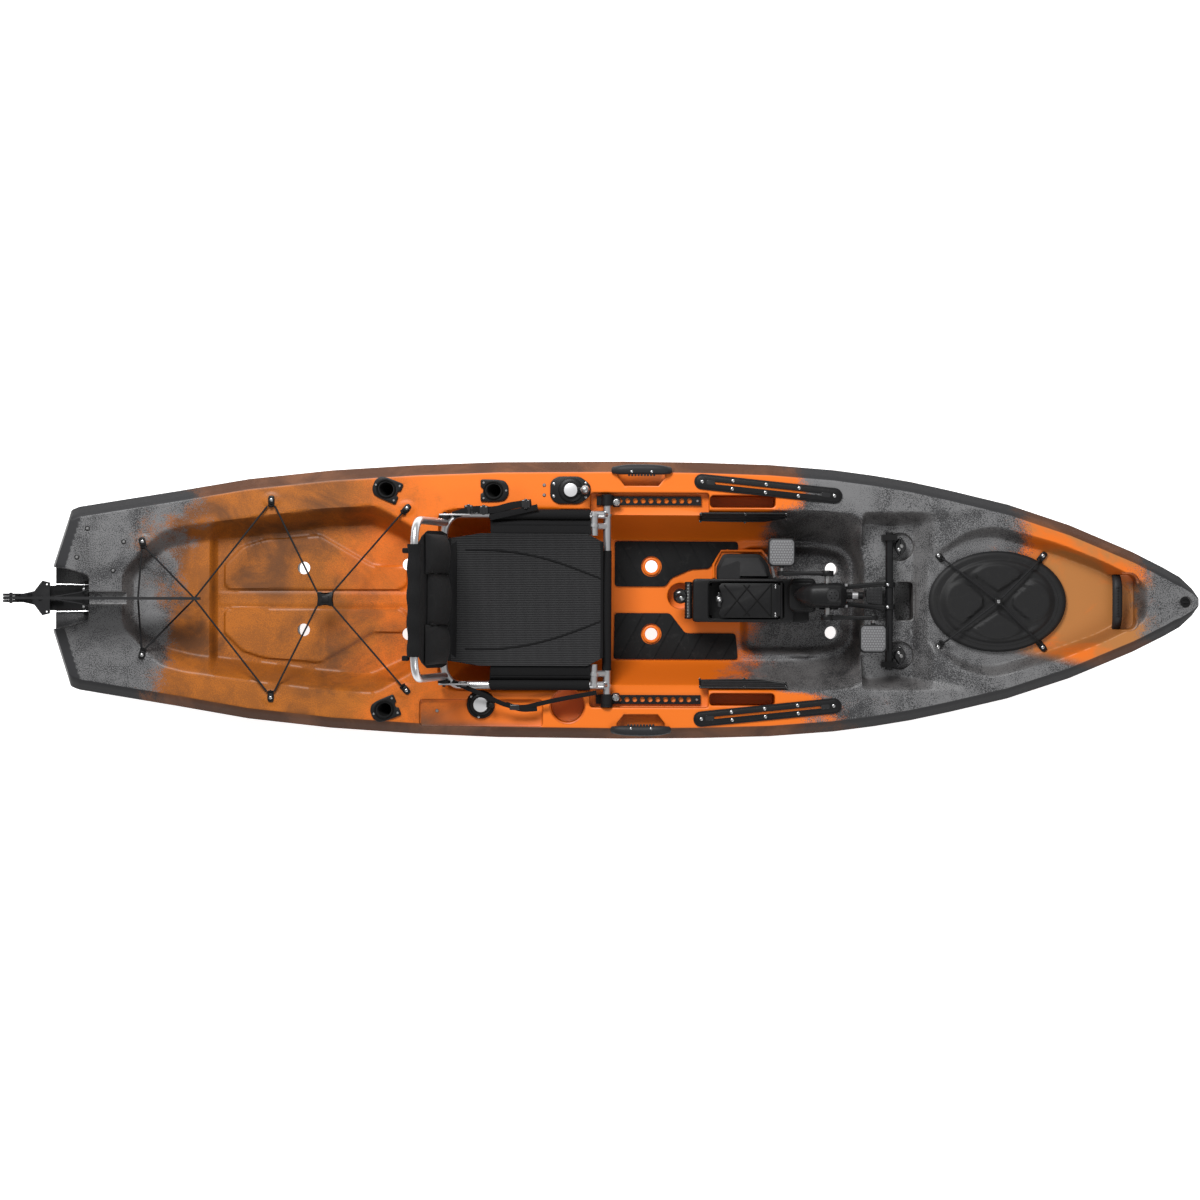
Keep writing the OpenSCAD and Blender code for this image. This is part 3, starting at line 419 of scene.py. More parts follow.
def hull_paint():
    m, n, b = new_material("Marbled hull")
    if n is None:
        return m
    c = tints()
    spots = group_node(n, shared("Marble", marble_group))
    grain = group_node(n, shared("Grain", grain_group), Scale=330.0, Share=0.47)
    steep_shade = n.node("Attribute", attribute_name="steep_shade").outputs["Fac"]
    warm = n.mix(spots["Amber"], tuple(c.orange), tuple(c.amber))
    warm = n.mix(n.math("MULTIPLY", spots["Amber"], n.math("MULTIPLY", spots["Cloud"], 0.75)),
                 warm, tuple(c.brown))
    speck = n.math("MULTIPLY", n.math("MULTIPLY", spots["Amber"], grain["Mask"]), 0.42)
    warm = n.mix(speck, warm, tuple(c.brown))
    warm = n.mix(spots["Tan"], warm, n.mix(spots["Cloud"], tuple(c.tan), tuple(c.orange)))
    cold = n.mix(grain["Mask"], tuple(c.dark), tuple(c.grey))
    base = n.mix(spots["Grey"], warm, cold)
    # Painted shade: the sloping chamfer band round the rim and the stern end are painted dark brown, or near black in
    # the grey parts, standing in for the shade on them.
    edge = n.node("Attribute", attribute_name="edge").outputs["Fac"]
    shaded_edge_warm = n.mix(spots["Cloud"], (0.085, 0.028, 0.008, 1), (0.17, 0.062, 0.022, 1))
    base = n.mix(edge, base, n.mix(spots["Grey"], shaded_edge_warm, (0.020, 0.020, 0.022, 1)))
    # Painted shade: steep walls are multiplied towards a dark brownish grey, standing in for the shade that falls on
    # them.
    shaded = n.mix(1.0, base, (0.32, 0.26, 0.22, 1), "MULTIPLY")
    shade = n.mix(n.math("MULTIPLY", steep_shade, 0.72), base, shaded)
    n.put(b.inputs["Base Color"], shade)
    b.inputs["Roughness"].default_value = 0.46
    b.inputs["Specular IOR Level"].default_value = 0.4
    bump(n, b, grain["Height"], 0.0006, 0.35)
    return m


def foam_paint():
    return plain("Foam pad", (0.010, 0.0105, 0.011), 0.9, grain=0.5, dust=0.03)


def mesh_paint():
    m, n, b = new_material("Seat mesh")
    if n is None:
        return m
    w = group_node(n, shared("Weave", weave_group), Pitch=0.0070)
    n.put(b.inputs["Base Color"], n.mix(w["Mask"], (0.003, 0.003, 0.0033, 1), (0.045, 0.045, 0.047, 1)))
    b.inputs["Roughness"].default_value = 0.6
    b.inputs["Specular IOR Level"].default_value = 0.2
    bump(n, b, w["Height"], 0.0012, 0.7)
    return m


def cloth_paint():
    m, n, b = new_material("Black cloth")
    if n is None:
        return m
    w = group_node(n, shared("Weave", weave_group), Pitch=0.0030)
    n.put(b.inputs["Base Color"], n.mix(w["Mask"], (0.0045, 0.0045, 0.005, 1), (0.012, 0.012, 0.0125, 1)))
    b.inputs["Roughness"].default_value = 0.85
    b.inputs["Specular IOR Level"].default_value = 0.15
    bump(n, b, w["Height"], 0.0004, 0.5)
    return m


def black():
    return plain("Black plastic", tints().black, 0.42, grain=0.25)


def satin():
    return plain("Dark grey plastic", (0.020, 0.020, 0.021), 0.5, grain=0.4)


def gloss():
    return plain("Gloss black", (0.008, 0.008, 0.009), 0.16, coat=0.6, dust=0.02)


def alloy():
    return plain("Brushed aluminium", (0.55, 0.55, 0.56), 0.30, metal=0.9, dust=0.04)


def steel():
    return plain("Bright steel", (0.42, 0.42, 0.42), 0.34, metal=1.0, dust=0.0)


def badge():
    return plain("Pale badge", (0.62, 0.62, 0.63), 0.35, metal=0.4, dust=0.0)


def grey_pedal():
    return plain("Pedal grey", (0.13, 0.13, 0.135), 0.6, grain=0.3)


# ---- mesh helpers, in mm


def rrect(x0, x1, y0, y1, r, n=5):
    """Rectangle with round corners, anticlockwise."""
    r = min(r, (x1 - x0) / 2 - 0.01, (y1 - y0) / 2 - 0.01)
    pts = []
    for cx, cy, a0 in ((x1 - r, y1 - r, 0), (x0 + r, y1 - r, 90), (x0 + r, y0 + r, 180),
                       (x1 - r, y0 + r, 270)):
        for i in range(n + 1):
            a = math.radians(a0 + 90 * i / n)
            pts.append((cx + r * math.cos(a), cy + r * math.sin(a)))
    return pts


def ring(cx, cy, rx, ry=None, n=48):
    ry = rx if ry is None else ry
    return [(cx + rx * math.cos(math.tau * i / n), cy + ry * math.sin(math.tau * i / n))
            for i in range(n)]


def both(half):
    """Outline closed across the centre line from its half, anticlockwise."""
    pts = [(x, y) for x, y in half] + [(x, -y) for x, y in reversed(half)]
    return pts if area(pts) > 0 else pts[::-1]


def area(p):
    return sum(a[0] * b[1] - b[0] * a[1] for a, b in zip(p, p[1:] + p[:1])) / 2


def offset(p, d):
    """Outline moved outwards by d along its corners' normals."""
    out, n = [], len(p)
    for i in range(n):
        a, b, c = Vector(p[i - 1]), Vector(p[i]), Vector(p[(i + 1) % n])
        e, f = (b - a), (c - b)
        if e.length < 1e-6:
            e = f
        if f.length < 1e-6:
            f = e
        e, f = e.normalized(), f.normalized()
        m = Vector((e.y, -e.x)) + Vector((f.y, -f.x))
        m = m / max(m.length_squared / 2, 0.5)
        out.append((b.x + d * m.x, b.y + d * m.y))
    return out


def fillet(p, r, n=4):
    """Outline with its corners rounded by about r."""
    out, k = [], len(p)
    for i in range(k):
        a, b, c = Vector(p[i - 1]), Vector(p[i]), Vector(p[(i + 1) % k])
        q = min(r, (a - b).length * 0.45, (c - b).length * 0.45)
        s, e = b + (a - b).normalized() * q, b + (c - b).normalized() * q
        for j in range(n + 1):
            t = j / n
            v = s * (1 - t) ** 2 + b * 2 * t * (1 - t) + e * t * t
            out.append((v.x, v.y))
    return out


def turned(p, cx, cy, degrees, flip=1):
    a = math.radians(degrees)
    c, s = math.cos(a), math.sin(a)
    q = [(cx + x * c - y * s, (cy + x * s + y * c) * flip) for x, y in p]
    return q if flip > 0 else q[::-1]


class Shape:
    """Gathers vertices and faces in mm, with a material number per face."""

    def __init__(self):
        self.v, self.f, self.m = [], [], []

    def add(self, v, f, m=0):
        o = len(self.v)
        self.v += [tuple(p) for p in v]
        self.f += [tuple(i + o for i in q) for q in f]
        self.m += [m] * len(f)
        return self

    def rings(self, rings, m=0, caps=True, closed=False):
        """Skin through rings of equal length."""
        n, k = len(rings[0]), len(rings)
        v = [p for r in rings for p in r]
        f = [(i * n + j, i * n + (j + 1) % n, ((i + 1) % k) * n + (j + 1) % n, ((i + 1) % k) * n + j)
             for i in range(k if closed else k - 1) for j in range(n)]
        if caps and not closed:
            f += [tuple(range(n))[::-1], tuple((k - 1) * n + j for j in range(n))]
        return self.add(v, f, m)

    def plate(self, outline, z0, z1, bevel=1.5, m=0, steps=2):
        """Flat plate with rounded top and bottom edges."""
        b = min(bevel, (z1 - z0) / 2.01)
        levels = []
        for i in range(steps + 1):
            a = math.radians(90 * i / steps)
            levels.append((z0 + b * (1 - math.sin(a)), -b * (1 - math.cos(a))))
        levels = [(z0 + b - b * math.cos(math.radians(90 * i / steps)),
                   -b + b * math.sin(math.radians(90 * i / steps))) for i in range(steps + 1)]
        top = [(z1 - (z - z0), d) for z, d in reversed(levels)]
        return self.rings([[(x, y, z) for x, y in offset(outline, d)] for z, d in levels + top], m)

    def lathe(self, profile, centre=(0, 0, 0), axis="Z", n=32, m=0):
        """Profile of (radius, height) turned about an axis through centre; both ends closed."""
        rings = []
        for r, h in profile:
            r = max(r, 0.01)
            row = []
            for i in range(n):
                a = math.tau * i / n
                p = (r * math.cos(a), r * math.sin(a), h)
                p = {"Z": p, "Y": (p[0], p[2], p[1]), "X": (p[2], p[0], p[1])}[axis]
                row.append((p[0] + centre[0], p[1] + centre[1], p[2] + centre[2]))
            rings.append(row)
        return self.rings(rings, m)

    def drum(self, centre, r, h, axis="Z", bevel=1.5, n=32, m=0):
        """Short cylinder with round edges, starting at centre."""
        b = min(bevel, abs(h) / 2.1, r / 2)
        return self.lathe([(r - b, 0), (r - b * 0.3, b * 0.3), (r, b), (r, h - b),
                           (r - b * 0.3, h - b * 0.3), (r - b, h)], centre, axis, n, m)

    def tube(self, path, r, n=14, m=0, closed=False, flat=1.0, up=None):
        """Tube along points; r may be a list; flat squashes it along its second axis."""
        path = [Vector([float(c) for c in p]) for p in path]
        k = len(path)
        radii = [float(q) for q in r] if isinstance(r, (list, tuple)) else [float(r)] * k
        rows, side = [], None
        for i in range(k):
            a = path[(i - 1) % k] if closed or i else path[0]
            b = path[(i + 1) % k] if closed or i < k - 1 else path[-1]
            t = (b - a).normalized()
            if up is not None:
                side = t.cross(Vector(up)).normalized()
            elif side is None:
                side = t.cross(Vector((0, 0, 1)) if abs(t.z) < 0.9 else Vector((1, 0, 0))).normalized()
            else:
                side = (side - t * side.dot(t)).normalized()
            w = side.cross(t)
            rows.append([path[i] + radii[i] * (math.cos(math.tau * j / n) * side
                         + flat * math.sin(math.tau * j / n) * w) for j in range(n)])
        return self.rings(rows, m, closed=closed)

    def box(self, lo, hi, bevel=2.0, m=0):
        return self.plate(rrect(lo[0], hi[0], lo[1], hi[1], bevel, 3), lo[2], hi[2], bevel * 0.8, m)

    def sheet(self, rows, thick, m=0, closed_rows=False):
        """Solid sheet from a grid of points: the grid on top and a copy thick below it."""
        g = np.array(rows, float)
        a, b = g.shape[:2]
        du = np.gradient(g, axis=0)
        dv = np.gradient(g, axis=1)
        nrm = np.cross(du, dv)
        nrm /= np.maximum(np.linalg.norm(nrm, axis=2, keepdims=True), 1e-9)
        low = g - nrm * thick
        v = list(map(tuple, g.reshape(-1, 3))) + list(map(tuple, low.reshape(-1, 3)))
        o = a * b
        f = []
        for i in range(a - 1):
            for j in range(b - 1):
                q = (i * b + j, (i + 1) * b + j, (i + 1) * b + j + 1, i * b + j + 1)
                f += [q, tuple(o + s for s in reversed(q))]
        edge = ([i * b for i in range(a)] + [(a - 1) * b + j for j in range(1, b)]
                + [i * b + b - 1 for i in range(a - 2, -1, -1)] + [j for j in range(b - 2, 0, -1)])
        f += [(p, edge[(i + 1) % len(edge)], o + edge[(i + 1) % len(edge)], o + p)
              for i, p in enumerate(edge)]
        return self.add(v, f, m)

    def mirror(self):
        """Adds the other side's copy of everything."""
        o, count = len(self.v), len(self.f)
        self.v += [(x, -y, z) for x, y, z in self.v]
        self.f += [tuple(i + o for i in reversed(q)) for q in self.f[:count]]
        self.m += self.m[:count]
        return self

    def flip(self):
        """Turns everything over to the other side."""
        self.v = [(x, -y, z) for x, y, z in self.v]
        self.f = [tuple(reversed(q)) for q in self.f]
        return self


def as_object(name, shape, mats, crease=35):
    me = bpy.data.meshes.new(name)
    me.from_pydata([(x / 1000, y / 1000, z / 1000) for x, y, z in shape.v], [], shape.f)
    for m in mats if isinstance(mats, (list, tuple)) else [mats]:
        me.materials.append(m)
    me.polygons.foreach_set("material_index", shape.m)
    bm = bmesh.new()
    bm.from_mesh(me)
    bmesh.ops.recalc_face_normals(bm, faces=bm.faces)
    bm.to_mesh(me)
    bm.free()
    me.polygons.foreach_set("use_smooth", [True] * len(me.polygons))
    if crease:
        me.set_sharp_from_angle(angle=math.radians(crease))
    ob = bpy.data.objects.new(name, me)
    bpy.context.scene.collection.objects.link(ob)
    return ob


def settle(ob, body, nodes=(), slot=None):
    """Puts the piece on its body and in the table."""
    if isinstance(body, str):
        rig.ride(ob, body)
    if nodes:
        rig.replaces(ob, *nodes)
    if slot:
        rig.slot(ob, slot)
    return ob


def piece(name, shape, mats, body, nodes=(), slot=None, crease=35):
    return settle(as_object(name, shape, mats, crease), body, nodes, slot)


def dress(node, mat, width=0.0):
    """Gives a CAD node kept as it is its material, and round edges if width is set."""
    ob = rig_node(node)
    for s in range(len(ob.data.materials)):
        ob.data.materials[s] = mat
    if not len(ob.data.materials):
        ob.data.materials.append(mat)
    if width:
        b = ob.modifiers.new("Edges", "BEVEL")
        b.width, b.segments, b.angle_limit = width / 1000, 2, math.radians(40)
        b.limit_method = "ANGLE"
    return ob


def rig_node(name):
    for o in bpy.context.scene.objects:
        if o.get("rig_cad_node") == name:
            return o
    raise RuntimeError(f"no CAD node {name}")


def bake(ob):
    """Applies every modifier of the piece into its mesh."""
    deps = bpy.context.evaluated_depsgraph_get()
    me = bpy.data.meshes.new_from_object(ob.evaluated_get(deps), preserve_all_data_layers=True,
                                         depsgraph=deps)
    ob.modifiers.clear()
    old = ob.data
    ob.data = me
    bpy.data.meshes.remove(old)
    return ob


# ---- geometry node trees


def geometry_tree(name, inputs):
    tree = bpy.data.node_groups.new(name, "GeometryNodeTree")
    tree.interface.new_socket(name="Geometry", in_out="INPUT", socket_type="NodeSocketGeometry")
    for label, kind in inputs:
        tree.interface.new_socket(name=label, in_out="INPUT", socket_type="NodeSocket" + kind)
    tree.interface.new_socket(name="Geometry", in_out="OUTPUT", socket_type="NodeSocketGeometry")
    return tree, tree.nodes.new("NodeGroupInput"), tree.nodes.new("NodeGroupOutput")


def stud_tree():
    """A stud on every point: a cone with Sides sides."""
    tree, src, out = geometry_tree("Studs", [("Sides", "Int"), ("Radius", "Float"),
                                             ("Top", "Float"), ("Height", "Float"),
                                             ("Material", "Material")])
    add, link = tree.nodes.new, tree.links.new
    cone, inst = add("GeometryNodeMeshCone"), add("GeometryNodeInstanceOnPoints")
    real, paint = add("GeometryNodeRealizeInstances"), add("GeometryNodeSetMaterial")
    for a, b in (("Sides", "Vertices"), ("Radius", "Radius Bottom"), ("Top", "Radius Top"),
                 ("Height", "Depth")):
        link(src.outputs[a], cone.inputs[b])
    link(src.outputs["Geometry"], inst.inputs["Points"])
    link(cone.outputs["Mesh"], inst.inputs["Instance"])
    link(inst.outputs[0], real.inputs[0])
    link(real.outputs[0], paint.inputs["Geometry"])
    link(src.outputs["Material"], paint.inputs["Material"])
    link(paint.outputs[0], out.inputs[0])
    return tree


def groove_tree():
    """Bars across the piece, cut out of it: Count bars, Pitch apart, turned by Angle."""
    tree, src, out = geometry_tree("Grooves", [("Count", "Int"), ("Start", "Vector"),
                                               ("Pitch", "Vector"), ("Size", "Vector"),
                                               ("Angle", "Float"), ("Material", "Material")])
    add, link = tree.nodes.new, tree.links.new
    line, bar = add("GeometryNodeMeshLine"), add("GeometryNodeMeshCube")
    inst, real = add("GeometryNodeInstanceOnPoints"), add("GeometryNodeRealizeInstances")
    cut, paint = add("GeometryNodeMeshBoolean"), add("GeometryNodeSetMaterial")
    turn = add("ShaderNodeCombineXYZ")
    cut.operation, cut.solver = "DIFFERENCE", "EXACT"
    link(src.outputs["Count"], line.inputs["Count"])
    link(src.outputs["Start"], line.inputs["Start Location"])
    link(src.outputs["Pitch"], line.inputs["Offset"])
    link(src.outputs["Size"], bar.inputs["Size"])
    link(src.outputs["Angle"], turn.inputs["Z"])
    link(turn.outputs[0], inst.inputs["Rotation"])
    link(line.outputs[0], inst.inputs["Points"])
    link(bar.outputs["Mesh"], inst.inputs["Instance"])
    link(inst.outputs[0], real.inputs[0])
    link(src.outputs["Geometry"], cut.inputs["Mesh 1"])
    link(real.outputs[0], cut.inputs["Mesh 2"])
    link(cut.outputs[0], paint.inputs["Geometry"])
    link(src.outputs["Material"], paint.inputs["Material"])
    link(paint.outputs[0], out.inputs[0])
    return tree


def run_tree(ob, name, maker, values):
    """Runs a geometry tree on the piece with these named inputs, and keeps the result."""
    tree = bpy.data.node_groups.get(name) or maker()
    mod = ob.modifiers.new(name, "NODES")
    mod.node_group = tree
    for item in tree.interface.items_tree:
        if item.in_out == "INPUT" and item.name in values:
            mod[item.identifier] = values[item.name]
    return bake(ob)


def studs(name, points, mat, sides, radius, top, height):
    """Piece made of one stud on each point; points in mm."""
    ob = as_object(name, Shape().add(points, []), mat, crease=0)
    run_tree(ob, "Studs", stud_tree, {"Sides": sides, "Radius": radius / 1000,
                                      "Top": top / 1000, "Height": height / 1000,
                                      "Material": mat})
    ob.data.polygons.foreach_set("use_smooth", [True] * len(ob.data.polygons))
    ob.data.set_sharp_from_angle(angle=math.radians(40))
    return ob


# ---- hull lines, shared with the deck


PLAN = [(-1, 0.24), (-0.969, 0.637), (-0.955, 0.66), (-0.783, 0.775), (-0.657, 0.864),
        (-0.511, 0.929), (-0.365, 0.968), (-0.219, 0.992), (0, 1), (0.134, 0.994), (0.257, 0.979),
        (0.37, 0.943), (0.44, 0.905), (0.505, 0.86), (0.573, 0.799), (0.674, 0.698), (0.781, 0.55),
        (0.889, 0.359), (0.943, 0.245), (0.97, 0.18), (0.99, 0.095), (1, 0.03)]
KEEL = [(-1, 1), (-0.9, 0.2), (-0.75, 0), (0.6, 0), (0.78, 0.08), (0.88, 0.28), (0.943, 0.52),
        (0.97, 0.68), (0.99, 0.86), (1, 0.98)]
SHEER = [(-1, 0), (0.44, 0), (0.573, 0.12), (0.674, 0.3), (0.781, 0.5), (0.889, 0.76), (1, 1)]
BOW_RISE, STERN_LIFT, KEEL_HALF = 90, 70, 45
TANK_X0, TANK_X1 = -1532, -590
TANK_STEP_X = TANK_X0 + 276
DECK = 330
NOTCH_X, NOTCH_Z = -1640, 252
HATCH_X, RECESS_Z = 1274.7, 306
SCUPPERS = [(-957, 100), (-618, 112), (167, 110), (756, 104)]
EYES = [(-1466, 178), (-1054, 313), (-622, 289), (1088.7, 144), (1419.7, 144)]


def table(pairs, s):
    return np.interp(s, [p[0] for p in pairs], [p[1] for p in pairs])


def share(x):
    s = sizes()
    bow = s.hull_l * 0.52
    mid = bow - s.hull_l / 2
    return np.clip((np.asarray(x, float) - mid) / (s.hull_l / 2), -1, 1)


def half_at(x):
    return table(PLAN, share(x)) * sizes().beam / 2


def sheer_at(x):
    return DECK + table(SHEER, share(x)) * BOW_RISE


def keel_at(x):
    s = share(x)
    return np.where(s < 0, table(KEEL, s) * STERN_LIFT, table(KEEL, s) * DECK)


def edge_at(x):
    return np.minimum(36, 0.4 * half_at(x))


def inside(poly, x, y):
    """Signed distance to an outline, positive inside."""
    best = np.full(x.shape, 1e9)
    odd = np.zeros(x.shape, bool)
    for (x0, y0), (x1, y1) in zip(poly, poly[1:] + poly[:1]):
        dx, dy = x1 - x0, y1 - y0
        t = np.clip(((x - x0) * dx + (y - y0) * dy) / max(dx * dx + dy * dy, 1e-9), 0, 1)
        best = np.minimum(best, np.hypot(x - x0 - t * dx, y - y0 - t * dy))
        if y0 != y1:
            odd ^= ((y0 > y) != (y1 > y)) & (x < x0 + (y - y0) * dx / dy)
    return np.where(odd, best, -best)


def smooth(t):
    t = np.clip(t, 0, 1)
    return t * t * (3 - 2 * t)


def press(z, floor, rim, base, x, y, soft=0.5):
    """Deck z pressed down to floor between a rim and a base outline."""
    d = inside(rim, x, y)
    e = np.maximum(-inside(base, x, y), 0)
    t = np.clip(d / np.maximum(d + e, 1e-6), 0, 1)
    t = (1 - soft) * t + soft * smooth(t)
    return np.where(d > 0, np.minimum(z, z + (floor - z) * t), z)


def step_down(z, floor, outline, x, y, width):
    """Deck z sunk to floor inside an outline, over a soft edge of width."""
    t = smooth(inside(outline, x, y) / width + 0.5)
    return np.minimum(z, z + (floor - z) * t)


def tank_lines():
    t = 302
    a, b = TANK_X0, TANK_X1
    rim = [(a, 90), (a + 61, 0.52 * t), (a + 119, 0.71 * t), (a + 199, 0.78 * t), (a + 490, 0.9 * t),
           (b - 307, 0.957 * t), (b - 131, t), (b, 228)]
    base = [(a + 30, 66), (a + 82, 0.4 * t), (a + 135, 0.53 * t), (a + 225, 0.6 * t),
            (a + 492, 0.7 * t), (b - 310, 0.76 * t), (b - 147, 0.8 * t), (b - 14, 180)]
    floor = [(a + 276, 0.56 * t), (a + 492, 0.66 * t), (b - 310, 0.72 * t), (b - 150, 0.76 * t),
             (b - 20, 170)]
    return fillet(both(rim), 26), fillet(both(base), 22), both(floor)


def deck_height(x, y):
    """Height of the deck with everything that is pressed into it."""
    s = sizes()
    z = sheer_at(x)
    # aft well with its step, its two raised panels and the channel between them
    rim, base, floor = tank_lines()
    well = 270 - 35 * smooth((x - TANK_STEP_X + 4) / 26)
    z = press(z, well, rim, base, x, y, 0.25)
    panel = fillet([(-1214, 110), (-1214, 46), (-1200, 30), (-646, 30), (-622, 48), (-622, 106),
                    (-735, 108), (-905, 206), (-1090, 190), (-1156, 168)], 12)
    for f in (1, -1):
        d = inside(panel, x, y * f)
        z = z + 8 * smooth(d / 6 + 0.5) * (inside(base, x, y) > 0)
    d = inside(rrect(-1236, -612, -25, 25, 12), x, y)
    z = z + 2 * smooth(d / 8)
    # cockpit and footwell
    rim = fillet(both([(-520, 262), (-500, 285), (-440, 295), (560, 292), (700, 290), (800, 284),
                       (846, 262), (864, 190), (866, 120)]), 24)
    base = fillet(both([(-482, 140), (-472, 175), (-430, 195), (560, 195), (700, 190), (785, 176),
                        (812, 150), (825, 120)]), 24)
    z = press(z, s.floor_h, rim, base, x, y, 0.3)
    foot = fillet(both([(470, 165), (700, 165), (770, 150), (800, 120)]), 30)
    z = step_down(z, s.foot_h, foot, x, y, 34)
    # heel bulges beside the drive
    for f in (1, -1):
        r = np.hypot((x - 655) / 62, (y - f * 176) / 15)
        z = z + 16 * (1 - smooth(r)) * (z < 250)
    # drive platform, which climbs to the crest round the bow recess
    climb = np.interp(x, [838, 1008, 1072, 1208], [262, 262, 322, 350])
    rim = fillet(both([(842, 286), (960, 288), (1100, 288), (1212, 286)]), 16)
    base = fillet(both([(842, 250), (960, 240), (1100, 258), (1200, 274)]), 16)
    z = press(z, climb, rim, base, x, y, 0.4)
    # bow recess, open aft to the middle of the platform
    floor = 254 + (RECESS_Z - 254) * smooth((x - 1000) / 52)
    rim = fillet(both([(884, 66), (942, 88), (1000, 112), (1079, 168), (1176, 231), (1263, 246),
                       (1474, 184), (1609, 128), (1744, 60)]), 40, 6)
    base = fillet(both([(890, 58), (945, 76), (1010, 94), (1100, 146), (1178, 196), (1263, 206),
                        (1463, 150), (1603, 100), (1703, 40)]), 34, 6)
    z = press(z, floor, rim, base, x, y, 0.45)
    # raised seats under the pad eyes
    for ex, ey in EYES[:3]:
        for f in (1, -1):
            r = np.hypot((x - ex) / 30, (y - f * (ey + 4)) / 26)
            z = z + np.where(z > 322, 2.5 * (1 - smooth((r - 0.7) / 0.3)), 0)
    return z


def hull_rings():
    """Rings round the hull, one for each mesh line across it."""
    s = sizes()
    stern = s.hull_l * (0.52 - 1)
    bow = s.hull_l * 0.52
    count = int(s.hull_l / s.step)
    xs = np.linspace(stern, bow, count)
    across = int(s.beam / s.step) | 1
    v = np.linspace(-1, 1, across)
    half, edge = half_at(xs), edge_at(xs)
    lim = half - edge
    X = np.repeat(xs[:, None], across, 1)
    Y = v[None, :] * lim[:, None]
    Z = deck_height(X, Y)
    zk, zs = keel_at(xs), sheer_at(xs)
    kw = np.minimum(KEEL_HALF, 0.5 * half)
    side_y = [half - edge * f for f in (0.93, 0.5, 0.06)]
    side_z = [zs - 0.9 * edge * f for f in (0.03, 0.5, 0.94)]
    h = zs - 0.9 * edge - zk
    for a, b in ((1.0, 1.0), (0.991, 0.86), (0.975, 0.66), (0.94, 0.5), (0.87, 0.34), (0.76, 0.215),
                 (0.62, 0.13), (0.40, 0.055)):
        side_y.append(np.maximum(half * a, kw + 0.5))
        side_z.append(zk + h * b)
    side_y.append(kw)
    side_z.append(zk)
    sy, sz = np.array(side_y).T, np.array(side_z).T
    rows = []
    for i, x in enumerate(xs):
        right = [(x, -sy[i, j], sz[i, j]) for j in range(sy.shape[1])]
        left = [(x, sy[i, j], sz[i, j]) for j in range(sy.shape[1] - 1, -1, -1)]
        deck = [(x, Y[i, j], Z[i, j]) for j in range(across - 1, -1, -1)]
        rows.append(deck + right + left)
    return rows


def hollow(outline, z0, deck, flare=4.0, up=160, foot=4.0):
    """Cutter for a recess: its floor at z0 and a soft lip where it meets the deck."""
    levels = [(z0, -foot), (z0 + foot * 0.3, -foot * 0.3), (z0 + foot, 0), (deck - flare, 0),
              (deck - flare * 0.3, flare * 0.3), (deck + 0.2, flare), (deck + up, flare)]
    return Shape().rings([[(x, y, z) for x, y in offset(outline, d)] for z, d in levels])


def hull_cutters():
    s = sizes()
    tray_y = float(half_at(-400)) - 33
    cuts = []
    def cut(outline, z0, deck, flare=4.0, both_sides=False, **kw):
        c = hollow(outline, z0, deck, flare, **kw)
        cuts.append(c)
        if both_sides:
            cuts.append(hollow(outline, z0, deck, flare, **kw).flip())
    cut(rrect(-32, 349, 270, 344, 10), 300, DECK, 5, True)
    cut(rrect(352, 561, 298, 337, 12), 210, DECK, 5, True)
    grip_y = float(half_at(132)) - 42
    cut([(56, grip_y - 8), (78, grip_y - 36), (186, grip_y - 36), (208, grip_y - 8),
         (208, grip_y + 26), (56, grip_y + 26)], 292, DECK, 4, True)
    cut(rrect(300, 700, s.drive_y - 50, s.drive_y + 50, 20), -150, -140, 0.5, up=500)
    cut(rrect(660, 762, s.drive_y - 30, s.drive_y + 30, 12), -150, -140, 0.5, up=500)
    cut(ring(262, 14, 42), 112, s.floor_h, 3, up=200)
    cut(rrect(952, 1010, -61, 61, 12), 150, 254, 6)
    cut(ring(966, 175, 45), 248, 262, 3, True, up=200)
    cut(fillet([(-1800, -74 - 34), (-1756, -74 - 26), (-1700, -90), (-1650, -74), (-1640, -66),
                (-1640, 66), (-1650, 74), (-1700, 90), (-1756, 100), (-1800, 108)], 9),
        NOTCH_Z, DECK, 6)
    cut(rrect(-1648, -1500, -19, 19, 10), 308, DECK, 5)
    cut(rrect(1593, 1712, -88, 88, 26), 310, 380, 6)
    cut(rrect(-577, -183, -tray_y, -321, 10), 316, DECK, 4)
    cut(ring(-103, -340.6, 52.5), 250, 316, 5)
    cut(ring(-381, -337, 47), 316, DECK, 3)
    cut(ring(1861.7, 0, 18), float(sheer_at(1861.7)) - 6, float(sheer_at(1861.7)), 2)
    for x, y in SCUPPERS:
        for f in (1, -1):
            cuts.append(Shape().lathe([(38 if x < 0 else 24, -60), (20, 130 if x > 0 else 230), (20, 400)],
                                      (x, f * y, 0), n=40))
    for x, y, turn, f in ((-684, 352.3, -22, 1), (-340, 349.3, 180, 1), (-688, 353.2, -22, -1)):
        lean = math.radians(22) * (-1 if turn > 90 else 1)
        a = math.radians(turn)
        d = Vector((-math.sin(lean) * math.cos(a), -math.sin(lean) * math.sin(a) * 1, math.cos(lean)))
        p = Vector((x, y, DECK))
        c = Shape().tube([p - d * 150, p + d * 60], 25, 32)
        cuts.append(c if f > 0 else c.flip())
    cuts.append(hollow(ring(HATCH_X, 0, 171, 112, 64), 190, 306, 3, up=60))
    return cuts


